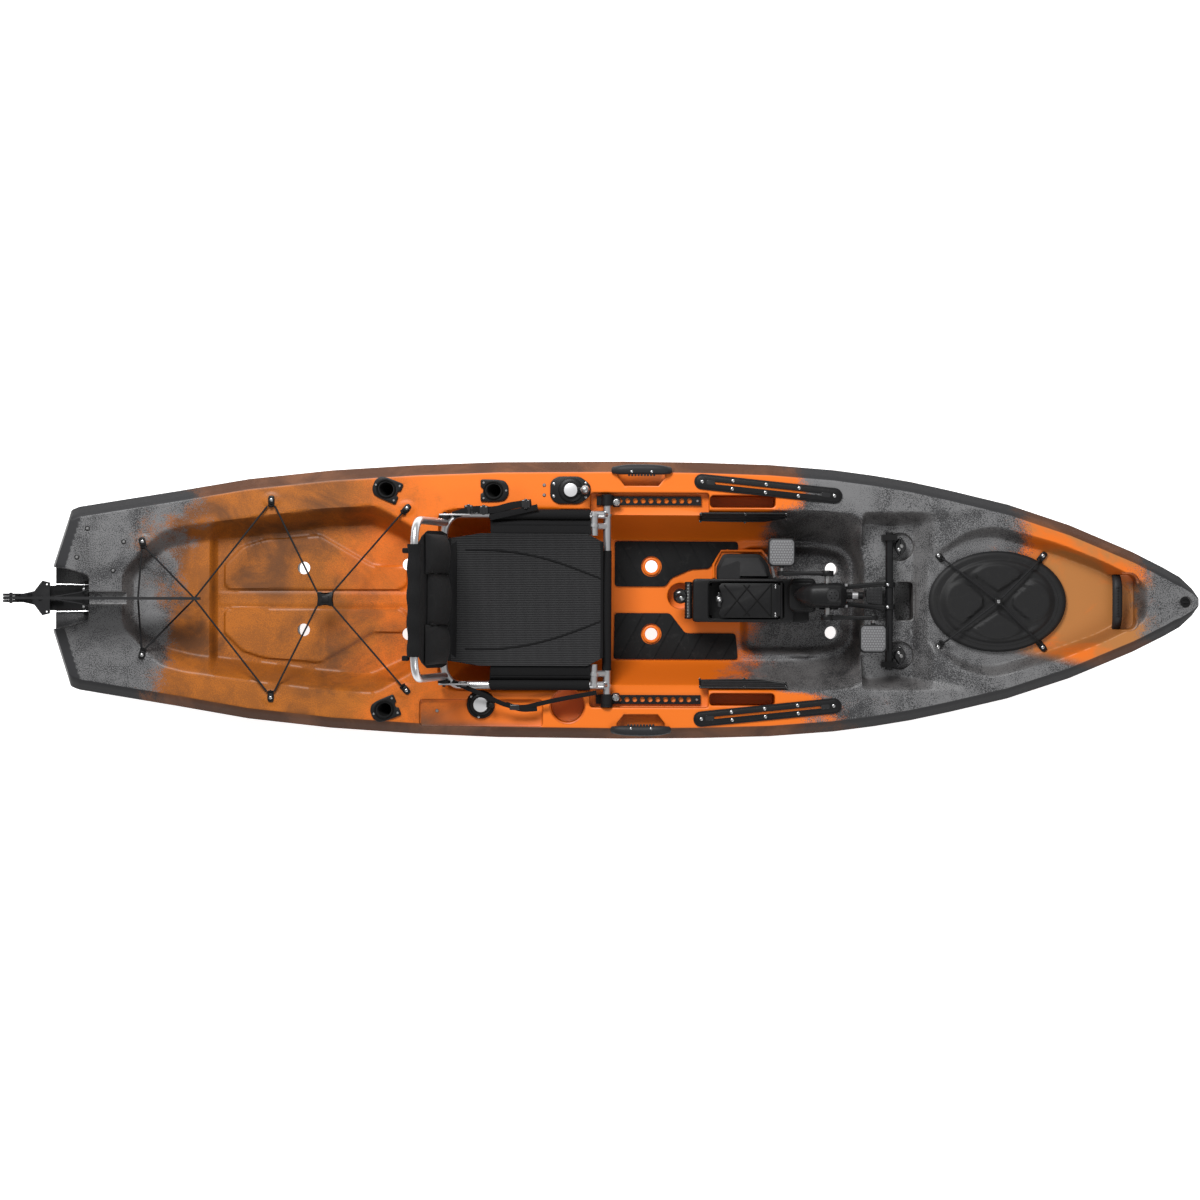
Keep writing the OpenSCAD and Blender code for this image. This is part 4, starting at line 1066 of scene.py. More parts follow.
class KAYAK_OT_hull(bpy.types.Operator):
    """Build the moulded hull with every recess in its deck"""
    bl_idname = "kayak.hull"
    bl_label = "Hull"

    def execute(self, context):
        ob = as_object("hull_shell", Shape().rings(hull_rings()), hull_paint(), crease=0)
        tool = Shape()
        for c in hull_cutters():
            tool.add(c.v, c.f, 1)
        cutter = as_object("hull_cutter", tool, [hull_paint(), hull_paint()], crease=0)
        ob.data.materials.append(hull_paint())
        mod = ob.modifiers.new("Cut", "BOOLEAN")
        mod.operation, mod.solver, mod.object = "DIFFERENCE", "EXACT", cutter
        mod.use_self = True
        bake(ob)
        old = cutter.data
        bpy.data.objects.remove(cutter)
        bpy.data.meshes.remove(old)
        me = ob.data
        bm = bmesh.new()
        bm.from_mesh(me)
        for e in bm.edges:
            if len(e.link_faces) == 2:
                a, b = e.link_faces
                cut = a.material_index or b.material_index
                e.smooth = e.calc_face_angle(0) < math.radians(34 if cut else 38)
        bm.to_mesh(me)
        # Masks for painted shade: how steep each point is, to darken the walls, and the rim band, to darken the
        # chamfer and the stern end.
        steep_shade = [min(1.0, max(0.0, 1.15 - v.normal.z * 1.15)) for v in bm.verts]
        x, y = np.array([v.co[:2] for v in bm.verts]).T * 1000
        rim = np.abs(y) > half_at(x) - edge_at(x) + 0.5
        rim = (rim | (x < -1714 + 0.31 * np.maximum(np.abs(y) - 103, 0))).astype(float)
        bm.free()
        me.attributes.new("edge", "FLOAT", "POINT").data.foreach_set("value", rim)
        me.attributes.new("steep_shade", "FLOAT", "POINT").data.foreach_set("value", steep_shade)
        settle(ob, "hull_body", ["hull"], "hull")
        return {"FINISHED"}


# ---- floor and deck fittings


class KAYAK_OT_floor(bpy.types.Operator):
    """Build the foam floor pads and the scupper collars"""
    bl_idname = "kayak.floor"
    bl_label = "Floor pads"

    def execute(self, context):
        s = sizes()
        z = s.floor_h + 0.4
        port = [(48, 192), (48, 44), (214, 45), (231, 72), (296, 101), (356, 104), (390, 159),
                (449, 160), (449, 191)]
        starboard = [(48, -42), (45, -192), (449, -192), (442, -108), (278, -107), (228, -42)]
        for name, outline, lean, y in (("foam_floor_port", port, -1, 110),
                                       ("foam_floor_starboard", starboard, 1, -110)):
            ob = as_object(name, Shape().plate(fillet(outline, 11), z, z + 6, 2), foam_paint())
            run_tree(ob, "Grooves", groove_tree, {
                "Count": 11, "Start": (-0.06, y / 1000, (z + 6) / 1000),
                "Pitch": (s.groove_pitch / 1000, 0, 0),
                "Size": (0.34, s.groove_w / 1000, 0.005), "Angle": math.radians(62 * lean),
                "Material": foam_paint()})
            hole = as_object("pad_hole", Shape().lathe([(33.5, -20), (33.5, 20)], (167, y, z)),
                             foam_paint(), 0)
            mod = ob.modifiers.new("Hole", "BOOLEAN")
            mod.operation, mod.solver, mod.object = "DIFFERENCE", "EXACT", hole
            bake(ob)
            bpy.data.objects.remove(hole)
            ob.data.set_sharp_from_angle(angle=math.radians(30))
            settle(ob, "hull_body", ["foam_pad_port" if y > 0 else "foam_pad_starboard"], "foam")
        rings = Shape()
        rings.lathe([(20.5, 0), (20.5, 5), (22, 6.5), (25, 7), (28, 5.6), (29, 3), (29, 0), (24.0, 0)],
                    (167, 110, s.floor_h + 0.2), n=48)
        rings.mirror()
        ob = piece("scupper_rings", open_ring(rings), hull_paint(), "hull_body", ["scupper_collars"],
                   "collar")
        return {"FINISHED"}


def open_ring(shape):
    """Turns a lathe's two end caps into nothing, so that its first and last rows can meet."""
    keep = [i for i, f in enumerate(shape.f) if len(f) <= 4]
    n = 48
    rows = len(shape.v) // n
    shape.f = [shape.f[i] for i in keep]
    shape.m = [shape.m[i] for i in keep]
    per = rows // 2
    for part in range(2):
        o = part * per * n
        last = o + (per - 1) * n
        q = [(last + j, last + (j + 1) % n, o + (j + 1) % n, o + j) for j in range(n)]
        shape.f += q
        shape.m += [0] * n
    return shape


RODS = [("aft_port", -684, 352.3, -22, 1), ("mid_port", -340, 349.3, 180, 1),
        ("aft_starboard", -688, 353.2, -22, -1)]


class KAYAK_OT_deck(bpy.types.Operator):
    """Build the fittings of the deck: rod holders, tracks, handles, rails, nets and pad eyes"""
    bl_idname = "kayak.deck"
    bl_label = "Deck fittings"

    def rod_holders(self):
        for name, x, y, turn, f in RODS:
            lean = math.radians(22) * (-1 if turn > 90 else 1)
            a = math.radians(turn)
            d = Vector((-math.sin(lean) * math.cos(a), -math.sin(lean) * math.sin(a), math.cos(lean)))
            sh = Shape()
            outline = fillet([(-46, -14), (-34, -31), (-14, -35), (14, -36), (44, -36), (44, -10),
                              (36, -7), (36, 7), (44, 10), (44, 36), (14, 36), (-14, 35),
                              (-34, 31), (-46, 14)], 7)
            sh.plate(turned(outline, x, y, turn), DECK + 0.2, DECK + 6, 2)
            e1 = Vector((math.cos(a) * math.cos(lean), math.sin(a) * math.cos(lean), math.sin(lean)))
            e2 = Vector((-math.sin(a), math.cos(a), 0))
            rows = []
            for r, h in ((23.8, -150), (23.8, 4), (25.5, 9.5), (27.5, 10), (29.5, 8.5), (30, 5)):
                row = []
                for j in range(40):
                    t = math.tau * j / 40
                    p = Vector((x, y, DECK)) + r * (math.cos(t) * e1 + math.sin(t) * e2)
                    row.append(tuple(p + d * ((DECK + h - p.z) / d.z if h > 0 else h)))
                rows.append(row)
            sh.rings(rows, 1)
            for px, py in ((-38, 0), (34, 25), (34, -25)):
                q = turned([(px, py)], x, y, turn)[0]
                sh.lathe([(3.6, 0), (3.6, 1.2), (2.4, 2.2)], (q[0], q[1], DECK + 6), n=14, m=2)
            p = Vector((x, y, DECK))
            bore = Shape().tube([p - d * 146, p + d * 60], 21.6, 40, m=1)
            if f < 0:
                sh.flip()
                bore.flip()
            hole = plain("Bore shadow", (0.002, 0.002, 0.002), 0.9, dust=0)
            ob = as_object("rod_holder_plate_" + name, sh, [black(), hole, steel()])
            tool = as_object("bore_" + name, bore, [black(), hole], crease=0)
            mod = ob.modifiers.new("Bore", "BOOLEAN")
            mod.operation, mod.solver, mod.object = "DIFFERENCE", "EXACT", tool
            mod.use_self = True
            bake(ob)
            bpy.data.objects.remove(tool)
            ob.data.set_sharp_from_angle(angle=math.radians(32))
            settle(ob, "hull_body", ["rod_holder_" + name], "fitting")

    def tracks(self):
        c, s = 538, 358.5
        for f, side in ((1, "port"), (-1, "starboard")):
            sh = Shape()
            n = 12
            def stadium(l, w, cx=0.0):
                h = (l - w) / 2
                return ([(cx + h + w / 2 * math.cos(math.radians(a)), w / 2 * math.sin(math.radians(a)))
                         for a in np.linspace(-90, 90, n)]
                        + [(cx - h + w / 2 * math.cos(math.radians(a)), w / 2 * math.sin(math.radians(a)))
                           for a in np.linspace(90, 270, n)])
            def at(outline, z):
                return [(x, y, z) for x, y in turned(outline, c, s, -5.9)]
            outer = [(stadium(477, 50), 0.2), (stadium(477, 50), 3.6), (stadium(474, 47), 5.2),
                     (stadium(466, 39), 5.6)]
            inner = [(stadium(464, 37), 7.4), (stadium(462, 35), 7.8), (stadium(398, 9), 7.8),
                     (stadium(397, 8), 7.4), (stadium(397, 8), 2.2)]
            sh.rings([at(*r) for r in outer + inner])
            screws = [turned([(x, y)], c, s, -5.9)[0] for x, y in
                      ((-213, 0), (-115, 13), (-115, -13), (-8, 13), (-8, -13), (98, 13), (98, -13),
                       (213, 0))]
            for a, b in screws:
                sh.lathe([(5.4, 0), (5.2, 1.2), (3.4, 2.4), (1.6, 2.5), (1.4, 1.2)],
                         (a, b, DECK + 7.6 - 0), n=16, m=1)
            sh.v = [(x, y, z + (DECK if z < 100 else 0)) for x, y, z in sh.v]
            slot = Shape().plate(turned(stadium(400, 7), c, s, -5.9), DECK + 1.2, DECK + 2.4, 0.3)
            sh.add(slot.v, slot.f, 2)
            for e in (-1, 1):
                t = Shape().plate(turned(rrect(e * 186 - 14, e * 186 + 14, -7, 7, 5), c, s, -5.9),
                                  DECK + 7.2, DECK + 8.0, 0.2)
                sh.add(t.v, t.f, 3)
            if f < 0:
                sh.flip()
            piece("gear_track_" + side, sh, [black(), steel(), hull_paint(), gloss()], "hull_body",
                  ["track_" + side], "fitting")

    def rivets(self):
        pts = []
        for x in (-62, 62):
            for y in (-49, 49):
                q = turned([(x, y)], -1602.3, 156, -20)[0]
                pts.append((*q, DECK + 1.2))
        pts += [(-180, 367.6, DECK + 1.6), (-180, 335.6, DECK + 1.6), (-522, -357, DECK - 12.6)]
        ob = studs("deck_inserts", pts, steel(), 16, 5.6, 3.2, 2.2)
        settle(ob, "hull_body", ["deck_screws"], "steel")
        dark = studs("insert_rings", [(x, y, z - 0.9) for x, y, z in pts[:4]], black(), 20, 8, 7.4, 1.2)
        settle(dark, "hull_body", (), "fitting")

    def handles(self):
        y0 = float(half_at(132)) - 42 + 16
        sh = Shape()
        path = [(132 + u * 92, y0 - 4 * u * u, DECK + 6 + 13 * (1 - u ** 6)) for u in
                np.linspace(-1, 1, 25)]
        sh.tube(path, [10 + 6 * (1 - abs(u) ** 5) for u in np.linspace(-1, 1, 25)], 16, flat=0.75)
        for e in (-1, 1):
            sh.plate(turned(rrect(-13, 13, -12, 12, 9), 132 + e * 84, y0 - 3, 0), DECK + 0.2,
                     DECK + 11, 3)
        for x in (100, 164):
            sh.lathe([(4.2, 0), (4, 1), (2.5, 2)], (x, y0 - 8, DECK + 29), n=12, m=1)
        for i in range(9):
            sh.drum((92 + i * 10, y0 - 18, DECK + 14), 4.2, 8, n=10)
        port = Shape().add(sh.v, sh.f)
        port.m = list(sh.m)
        piece("carry_grip_port", port, [satin(), steel()], "hull_body", ["grip_port"], "fitting")
        piece("carry_grip_starboard", sh.flip(), [satin(), steel()], "hull_body", ["grip_starboard"],
              "fitting")
        bow = Shape()
        path = [(1654.7, 82 * u, 322 + 30 * (1 - abs(u) ** 5)) for u in np.linspace(-1, 1, 31)]
        bow.tube(path, [14 + 2 * (1 - abs(u) ** 4) for u in np.linspace(-1, 1, 31)], 18, flat=0.8)
        for i in range(-5, 6):
            bow.tube([(1640, i * 9 - 2, 352), (1654.7, i * 9, 366), (1669, i * 9 + 2, 352)], 2.4, 8)
        piece("bow_grip", bow, satin(), "hull_body", ["bow_handle"], "fitting")

    def nets(self):
        for f, side in ((1, "port"), (-1, "starboard")):
            sh = Shape()
            n = 26
            def wall(z):
                return 195 + (288 - 195) * (z - 155) / 175
            rows = []
            for i in range(n):
                x = 322 + i * 11
                u = i / (n - 1)
                top = DECK - 3
                low = DECK - 44 + (18 * max(0, u - 0.75) * 4) - 4 * math.sin(math.pi * u)
                rows.append([(x, wall(z) - 7, z) for z in np.linspace(low, top, 6)])
            sh.sheet(rows, 1.5)
            for k in (0, -1):
                line = [r[k] for r in rows]
                sh.tube(line, 3.2, 8, m=1)
            sh.tube([rows[0][0], rows[0][-1]], 3.2, 8, m=1)
            sh.tube([rows[-1][0], rows[-1][-1]], 3.2, 8, m=1)
            for i in (0, n // 2, n - 1):
                for k in (0, -1):
                    sh.drum(tuple(Vector(rows[i][k]) + Vector((0, -3, 0))), 4.5, 4, axis="Z", n=12, m=2)
            if f < 0:
                sh.flip()
            piece("side_net_" + side, sh, [mesh_paint(), black(), gloss()], "hull_body",
                  ["pocket_net_" + side], "mesh")

    def eyes(self):
        sh = Shape()
        for i, (x, y) in enumerate(EYES):
            z = (DECK if i < 3 else RECESS_Z) + 0.3
            turn = (105, 90, 48, 130, 50)[i]
            out = fillet([(-10, -14), (10, -14), (11, 6), (8, 18), (-8, 18), (-11, 6)], 6)
            q = turned(out, x, y, turn - 90)
            sh.plate(q, z, z + 7, 2.5)
            a = math.radians(turn)
            dx, dy = math.cos(a), math.sin(a)
            sh.tube([(x - dx * 14 - dy * 8, y - dy * 14 + dx * 8, z + 4),
                     (x - dx * 17, y - dy * 17, z + 12),
                     (x - dx * 14 + dy * 8, y - dy * 14 - dx * 8, z + 4)], 4.2, 10)
            sh.drum((x - dx * 2, y - dy * 2, z + 5), 8.5, 5, n=20)
            sh.lathe([(5.6, 0), (5.4, 1.4), (3.2, 2.8), (1.5, 2.8), (1.2, 1.6)],
                     (x + dx * 4, y + dy * 4, z + 8.5), n=16, m=1)
        sh.mirror()
        piece("eye_tabs", sh, [black(), steel()], "hull_body", ["pad_eyes"], "fitting")

    def execute(self, context):
        self.rod_holders()
        self.tracks()
        self.rivets()
        self.handles()
        self.nets()
        self.eyes()
        dress("seat_rail_port", black(), 1.0)
        dress("seat_rail_starboard", black(), 1.0)
        ends = [(x, f * 319, DECK - 20.5) for x in (312,) for f in (1, -1)]
        ob = studs("rail_screws", ends, steel(), 16, 5, 3, 2.4)
        settle(ob, "hull_body", (), "steel")
        return {"FINISHED"}


# ---- cords


def stretched(name, paths, r, mat, slot, body, start, end, node):
    """A line held by the hull at its start and by a moving body at its end."""
    sh = Shape()
    for path in paths:
        sh.tube(path, r, 10)
    ob = as_object(name, sh, mat)
    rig.replaces(ob, node)
    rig.slot(ob, slot)
    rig.blend(ob, "hull_body", body, [v / 1000 for v in start], [v / 1000 for v in end])
    return ob


class KAYAK_OT_cords(bpy.types.Operator):
    """Build the shock cords of the tank well and the bow hatch, with their clips"""
    bl_idname = "kayak.cords"
    bl_label = "Shock cords"

    def execute(self, context):
        cord = plain("Shock cord", (0.014, 0.014, 0.015), 0.7, grain=0.5)
        z = DECK + 9
        a, b, c = EYES[:3]
        aft, front = Shape(), Shape()
        for f in (1, -1):
            path = [(a[0] + 8, f * (a[1] - 14), z), (a[0] + 160, f * 8, z - 2 + f * 2.5),
                    (b[0] - 12, -f * (b[1] - 16), z)]
            aft.tube(path, 3, 10)
            front.tube([(b[0] + 12, f * (b[1] - 16), z), (-906, f * 22, z - 1)], 3, 10)
            front.tube([(c[0] - 14, f * (c[1] - 14), z), (-856, f * 22, z - 1)], 3, 10)
        aft.tube([(a[0] - 2, a[1] - 20, z - 1), (a[0] - 14, 0, z - 3), (a[0] - 2, 20 - a[1], z - 1)],
                 3, 10)
        piece("tank_cords_aft", aft, cord, "hull_body", ["tank_bungee_aft"], "cord")
        piece("tank_cords_front", front, cord, "hull_body", ["tank_bungee_front"], "cord")
        clip = Shape()
        clip.plate(fillet([(-907, -23), (-895, -23), (-880, -17), (-865, -23), (-853, -23),
                           (-856, 0), (-853, 23), (-865, 23), (-880, 17), (-895, 23), (-907, 23),
                           (-904, 0)], 4), DECK + 0.5, DECK + 13, 3)
        clip.plate(rrect(-892, -868, -10, 10, 4), DECK + 12, DECK + 15, 1)
        piece("cord_clip", clip, black(), "hull_body", ["bungee_clip"], "fitting")
        for i, f in ((3, 1), (3, -1), (4, 1), (4, -1)):
            e = EYES[i]
            path = [(e[0] + (HATCH_X - e[0]) * t, f * e[1] * (1 - t), RECESS_Z + h) for t, h in
                    ((0.05, 12), (0.1, 24), (0.2, 37), (0.45, 40), (0.8, 42), (0.965, 42))]
            stretched(f"hatch_cord_{i}_{'port' if f > 0 else 'starboard'}", [path], 3, cord, "cord",
                      "hatch", path[0], path[-1], "hatch_bungee")
        hub = Shape()
        hub.plate(rrect(HATCH_X - 12, HATCH_X + 12, -12, 12, 4), RECESS_Z + 36, RECESS_Z + 47, 2)
        hub.plate(rrect(HATCH_X - 5, HATCH_X + 5, -5, 5, 2), RECESS_Z + 46.6, RECESS_Z + 48.4, 0.5, 1)
        piece("hatch_clip", hub, [black(), steel()], "hatch", (), "fitting")
        return {"FINISHED"}


# ---- bow hatch and plug


def lid_height(x, y):
    """Embossed top of the hatch lid: a raised cross with four domed panels."""
    r = np.hypot(x / 221, y / 162)
    z = 10 + 6 * smooth((1 - r) / 0.06) + 10 * smooth((0.86 - r) / 0.10)
    pan = np.zeros_like(x)
    for cx, cy, rx, ry in ((-108, 0, 66, 74), (108, 0, 66, 74)):
        d = np.hypot((x - cx) / rx, (y - cy) / ry)
        cut = np.abs(y) - (np.abs(x) - 22) * 0.86
        pan = np.maximum(pan, smooth((1 - d) / 0.16) * smooth(-cut / 14))
    for cy in (76, -76):
        d = np.hypot(x / 92, (y - cy) / 50)
        cut = np.abs(x) * 0.66 - (np.abs(y) - 26)
        pan = np.maximum(pan, smooth((1 - d) / 0.2) * smooth(-cut / 14))
    return z + 5 * pan - 7 * smooth((0.80 - r) / 0.12) * (1 - pan) * 0.6


class KAYAK_OT_hatch(bpy.types.Operator):
    """Build the bow hatch lid, its seal and the drain plug"""
    bl_idname = "kayak.hatch"
    bl_label = "Bow hatch"

    def execute(self, context):
        n, k = 72, 40
        rows = []
        for i in range(k + 1):
            r = (1 - i / k) ** 0.9
            row = []
            for j in range(n):
                a = math.tau * j / n
                x, y = 221 * max(r, 0.004) * math.cos(a), 162 * max(r, 0.004) * math.sin(a)
                z = float(lid_height(np.array([x]), np.array([y]))[0])
                row.append((HATCH_X + x, y, RECESS_Z + z + 3 - (3 if i == 0 else 0)))
            rows.append(row)
        under = [[(HATCH_X + (x - HATCH_X) * q, y * q, RECESS_Z + h) for x, y, _ in rows[0]]
                 for q, h in ((0.985, 12.6), (0.9, 12.6), (0.88, 20), (0.02, 20))]
        sh = Shape().rings(under[::-1] + rows)
        piece("hatch_cover", sh, plain("Hatch black", (0.014, 0.014, 0.0145), 0.5, grain=0.5),
              "hatch", ["hatch_lid"], "panel")
        seal = Shape()
        seal.tube([(HATCH_X + 210 * math.cos(t), 151 * math.sin(t), RECESS_Z + 6.2)
                   for t in np.linspace(0, math.tau, 73)[:-1]], 5.8, 10, closed=True)
        piece("hatch_gasket", seal, plain("Rubber", (0.006, 0.006, 0.006), 0.85), "hull_body",
              ["hatch_seal"], "seal")
        z = float(sheer_at(1861.7)) - 5.6
        plug = Shape()
        plug.lathe([(15, 0), (15, 3), (13.5, 4.6), (10, 4.8), (9, 3.4), (0.1, 3.4)],
                   (1861.7, 0, z), n=32)
        plug.box((1850.7, -3, z + 3), (1872.7, 3, z + 8), 1.4)
        piece("plug_cap", plug, black(), "plug", ["drain_plug"], "fitting")
        return {"FINISHED"}


# ---- steering dials, bar and clamps


class KAYAK_OT_controls(bpy.types.Operator):
    """Build the steering dial, the lift dial, the cross bar and its clamps"""
    bl_idname = "kayak.controls"
    bl_label = "Controls"

    def execute(self, context):
        x, y, z = -95, 351.6, DECK + 0.2
        base = Shape()
        base.plate(fillet([(x - 66, y - 26), (x - 44, y - 44), (x + 30, y - 44), (x + 64, y - 18),
                           (x + 64, y + 18), (x + 30, y + 44), (x - 44, y + 44), (x - 66, y + 26)],
                          14), z, z + 7, 3)
        base.lathe([(40, 5), (38, 12), (33, 15), (28, 16)], (x, y, z), n=48)
        for px, py in ((-54, -20), (-54, 20), (48, -22), (48, 22)):
            base.lathe([(4.6, 0), (4.2, 1.4), (2.6, 2.2)], (x + px, y + py, z + 7), n=14, m=1)
        piece("steering_plate", base, [black(), steel()], "hull_body", ["steering_base"], "fitting")
        arm = Shape()
        arm.lathe([(26, 16.6), (26, 20), (24.5, 21.6), (21.6, 22)], (x, y, z), n=40)
        arm.lathe([(21.4, 21.4), (21.4, 22.8), (20.4, 23.2)], (x, y, z), n=40, m=1)
        arm.plate(fillet([(x + 16, y - 10), (x + 56, y - 8), (x + 56, y + 8), (x + 16, y + 10)], 4),
                  z + 17, z + 23, 2)
        knob = [(x + 45 + (15 + 2.2 * math.cos(6 * t)) * math.cos(t),
                 y + (15 + 2.2 * math.cos(6 * t)) * math.sin(t))
                for t in np.linspace(0, math.tau, 49)[:-1]]
        arm.plate(knob, z + 20, z + 34, 3, m=2)
        piece("steering_lever_arm", arm, [black(), badge(), satin()], "steering_lever",
              ["steering_arm"], "fitting")
        ball = Shape()
        ball.lathe([(5, 33), (5, 38), (8, 40), (11.5, 43), (13.6, 48), (14, 53), (13, 58.5),
                    (10, 63.5), (5.5, 66.5), (0.5, 67.4)], (x + 46 + 0, y, z), n=32)
        piece("steering_ball", ball, steel(), "steering_lever", ["steering_knob"], "steel")
        x, y, z = -381, -337, DECK - 13.8
        low = Shape()
        low.lathe([(45, 0), (45, 6), (43, 8.6), (37, 9), (35, 12), (34, 18), (31, 19.6), (25, 20)],
                  (x, y, z), n=56)
        for t in (20, 140, 260):
            t = math.radians(t)
            low.lathe([(4, 0), (3.8, 1.2), (2.4, 2)],
                      (x + 40 * math.cos(t), y + 40 * math.sin(t), z + 9), n=14, m=1)
        piece("lift_plate", low, [black(), steel()], "hull_body", ["lift_dial_base"], "fitting")
        dial = Shape()
        dial.lathe([(26, 20.6), (26, 25), (24.6, 26.8), (23.4, 27)], (x, y, z), n=40)
        dial.lathe([(23.2, 26.6), (23.2, 28), (22, 28.4)], (x, y, z), n=40, m=1)
        dial.plate(fillet([(x + 18, y - 9), (x + 40, y - 6), (x + 40, y + 6), (x + 18, y + 9)], 3),
                   z + 20.8, z + 30, 2)
        dial.drum((x + 36, y, z + 21), 9, 22, n=24, bevel=2.5)
        piece("lift_lever_dial", dial, [black(), badge()], "lift_lever", ["lift_dial"], "fitting")
        bar = Shape()
        bar.lathe([(11, -221), (12.5, -219.5), (12.5, 219.5), (11, 221)], (930, 0, 290), "Y", 40)
        piece("mount_bar", bar, plain("Black tube", (0.010, 0.010, 0.011), 0.22, metal=0.3),
              "hull_body", ["cross_bar"], "black_tube")
        dress("bar_saddles", black(), 2.0)
        for f, side in ((1, "port"), (-1, "starboard")):
            kn = Shape()
            z = 248.4
            kn.lathe([(18, 0), (18, 12)], (966, 175, z), n=32)
            kn.lathe([(17, 8), (20, 11), (20, 24), (17, 30), (10, 33)], (966, 175, z), n=40)
            kn.plate([(966 + (16 + 2 * math.cos(2 * t)) * math.cos(t),
                       175 + (29 + 2 * math.cos(4 * t)) * math.sin(t))
                      for t in np.linspace(0, math.tau, 41)[:-1]], z + 22, z + 38, 6, steps=4)
            kn.lathe([(6, 36), (6, 39), (4, 40.4), (1.6, 40.4), (1.2, 38.8)], (970, 177, z), n=24, m=1)
            kn.lathe([(5, 36), (5, 38.4), (3.4, 39.4)], (962, 166, z), n=20, m=1)
            if f < 0:
                kn.flip()
            piece("clamp_wing_" + side, kn, [gloss(), steel()], side + "_clamp",
                  ["clamp_knob_" + side], "knob")
        return {"FINISHED"}


# ---- rudder


class KAYAK_OT_rudder(bpy.types.Operator):
    """Build the rudder, its bracket, cables and lift cords"""
    bl_idname = "kayak.rudder"
    bl_label = "Rudder"

    def execute(self, context):
        dress("rudder_bracket", black(), 1.5)
        dress("rudder_head", plain("Rudder black", (0.016, 0.016, 0.017), 0.4, grain=0.3), 1.5)
        dress("rudder_blade", plain("Blade black", (0.022, 0.022, 0.023), 0.38, grain=0.3), 1.2)
        dress("steering_cables", alloy())
        dress("lift_cords", plain("Shock cord", (0.014, 0.014, 0.015), 0.7, grain=0.5))
        plate = Shape()
        plate.box((-1662, -54, NOTCH_Z + 0.3), (-1646, 54, NOTCH_Z + 26), 3)
        for y in (-42, -28, 28, 42):
            plate.drum((-1663, y, NOTCH_Z + 18), 5, 8, n=16, m=1)
        piece("cable_guides", plate, [black(), steel()], "hull_body", (), "fitting")
        return {"FINISHED"}


# ---- pedal drive


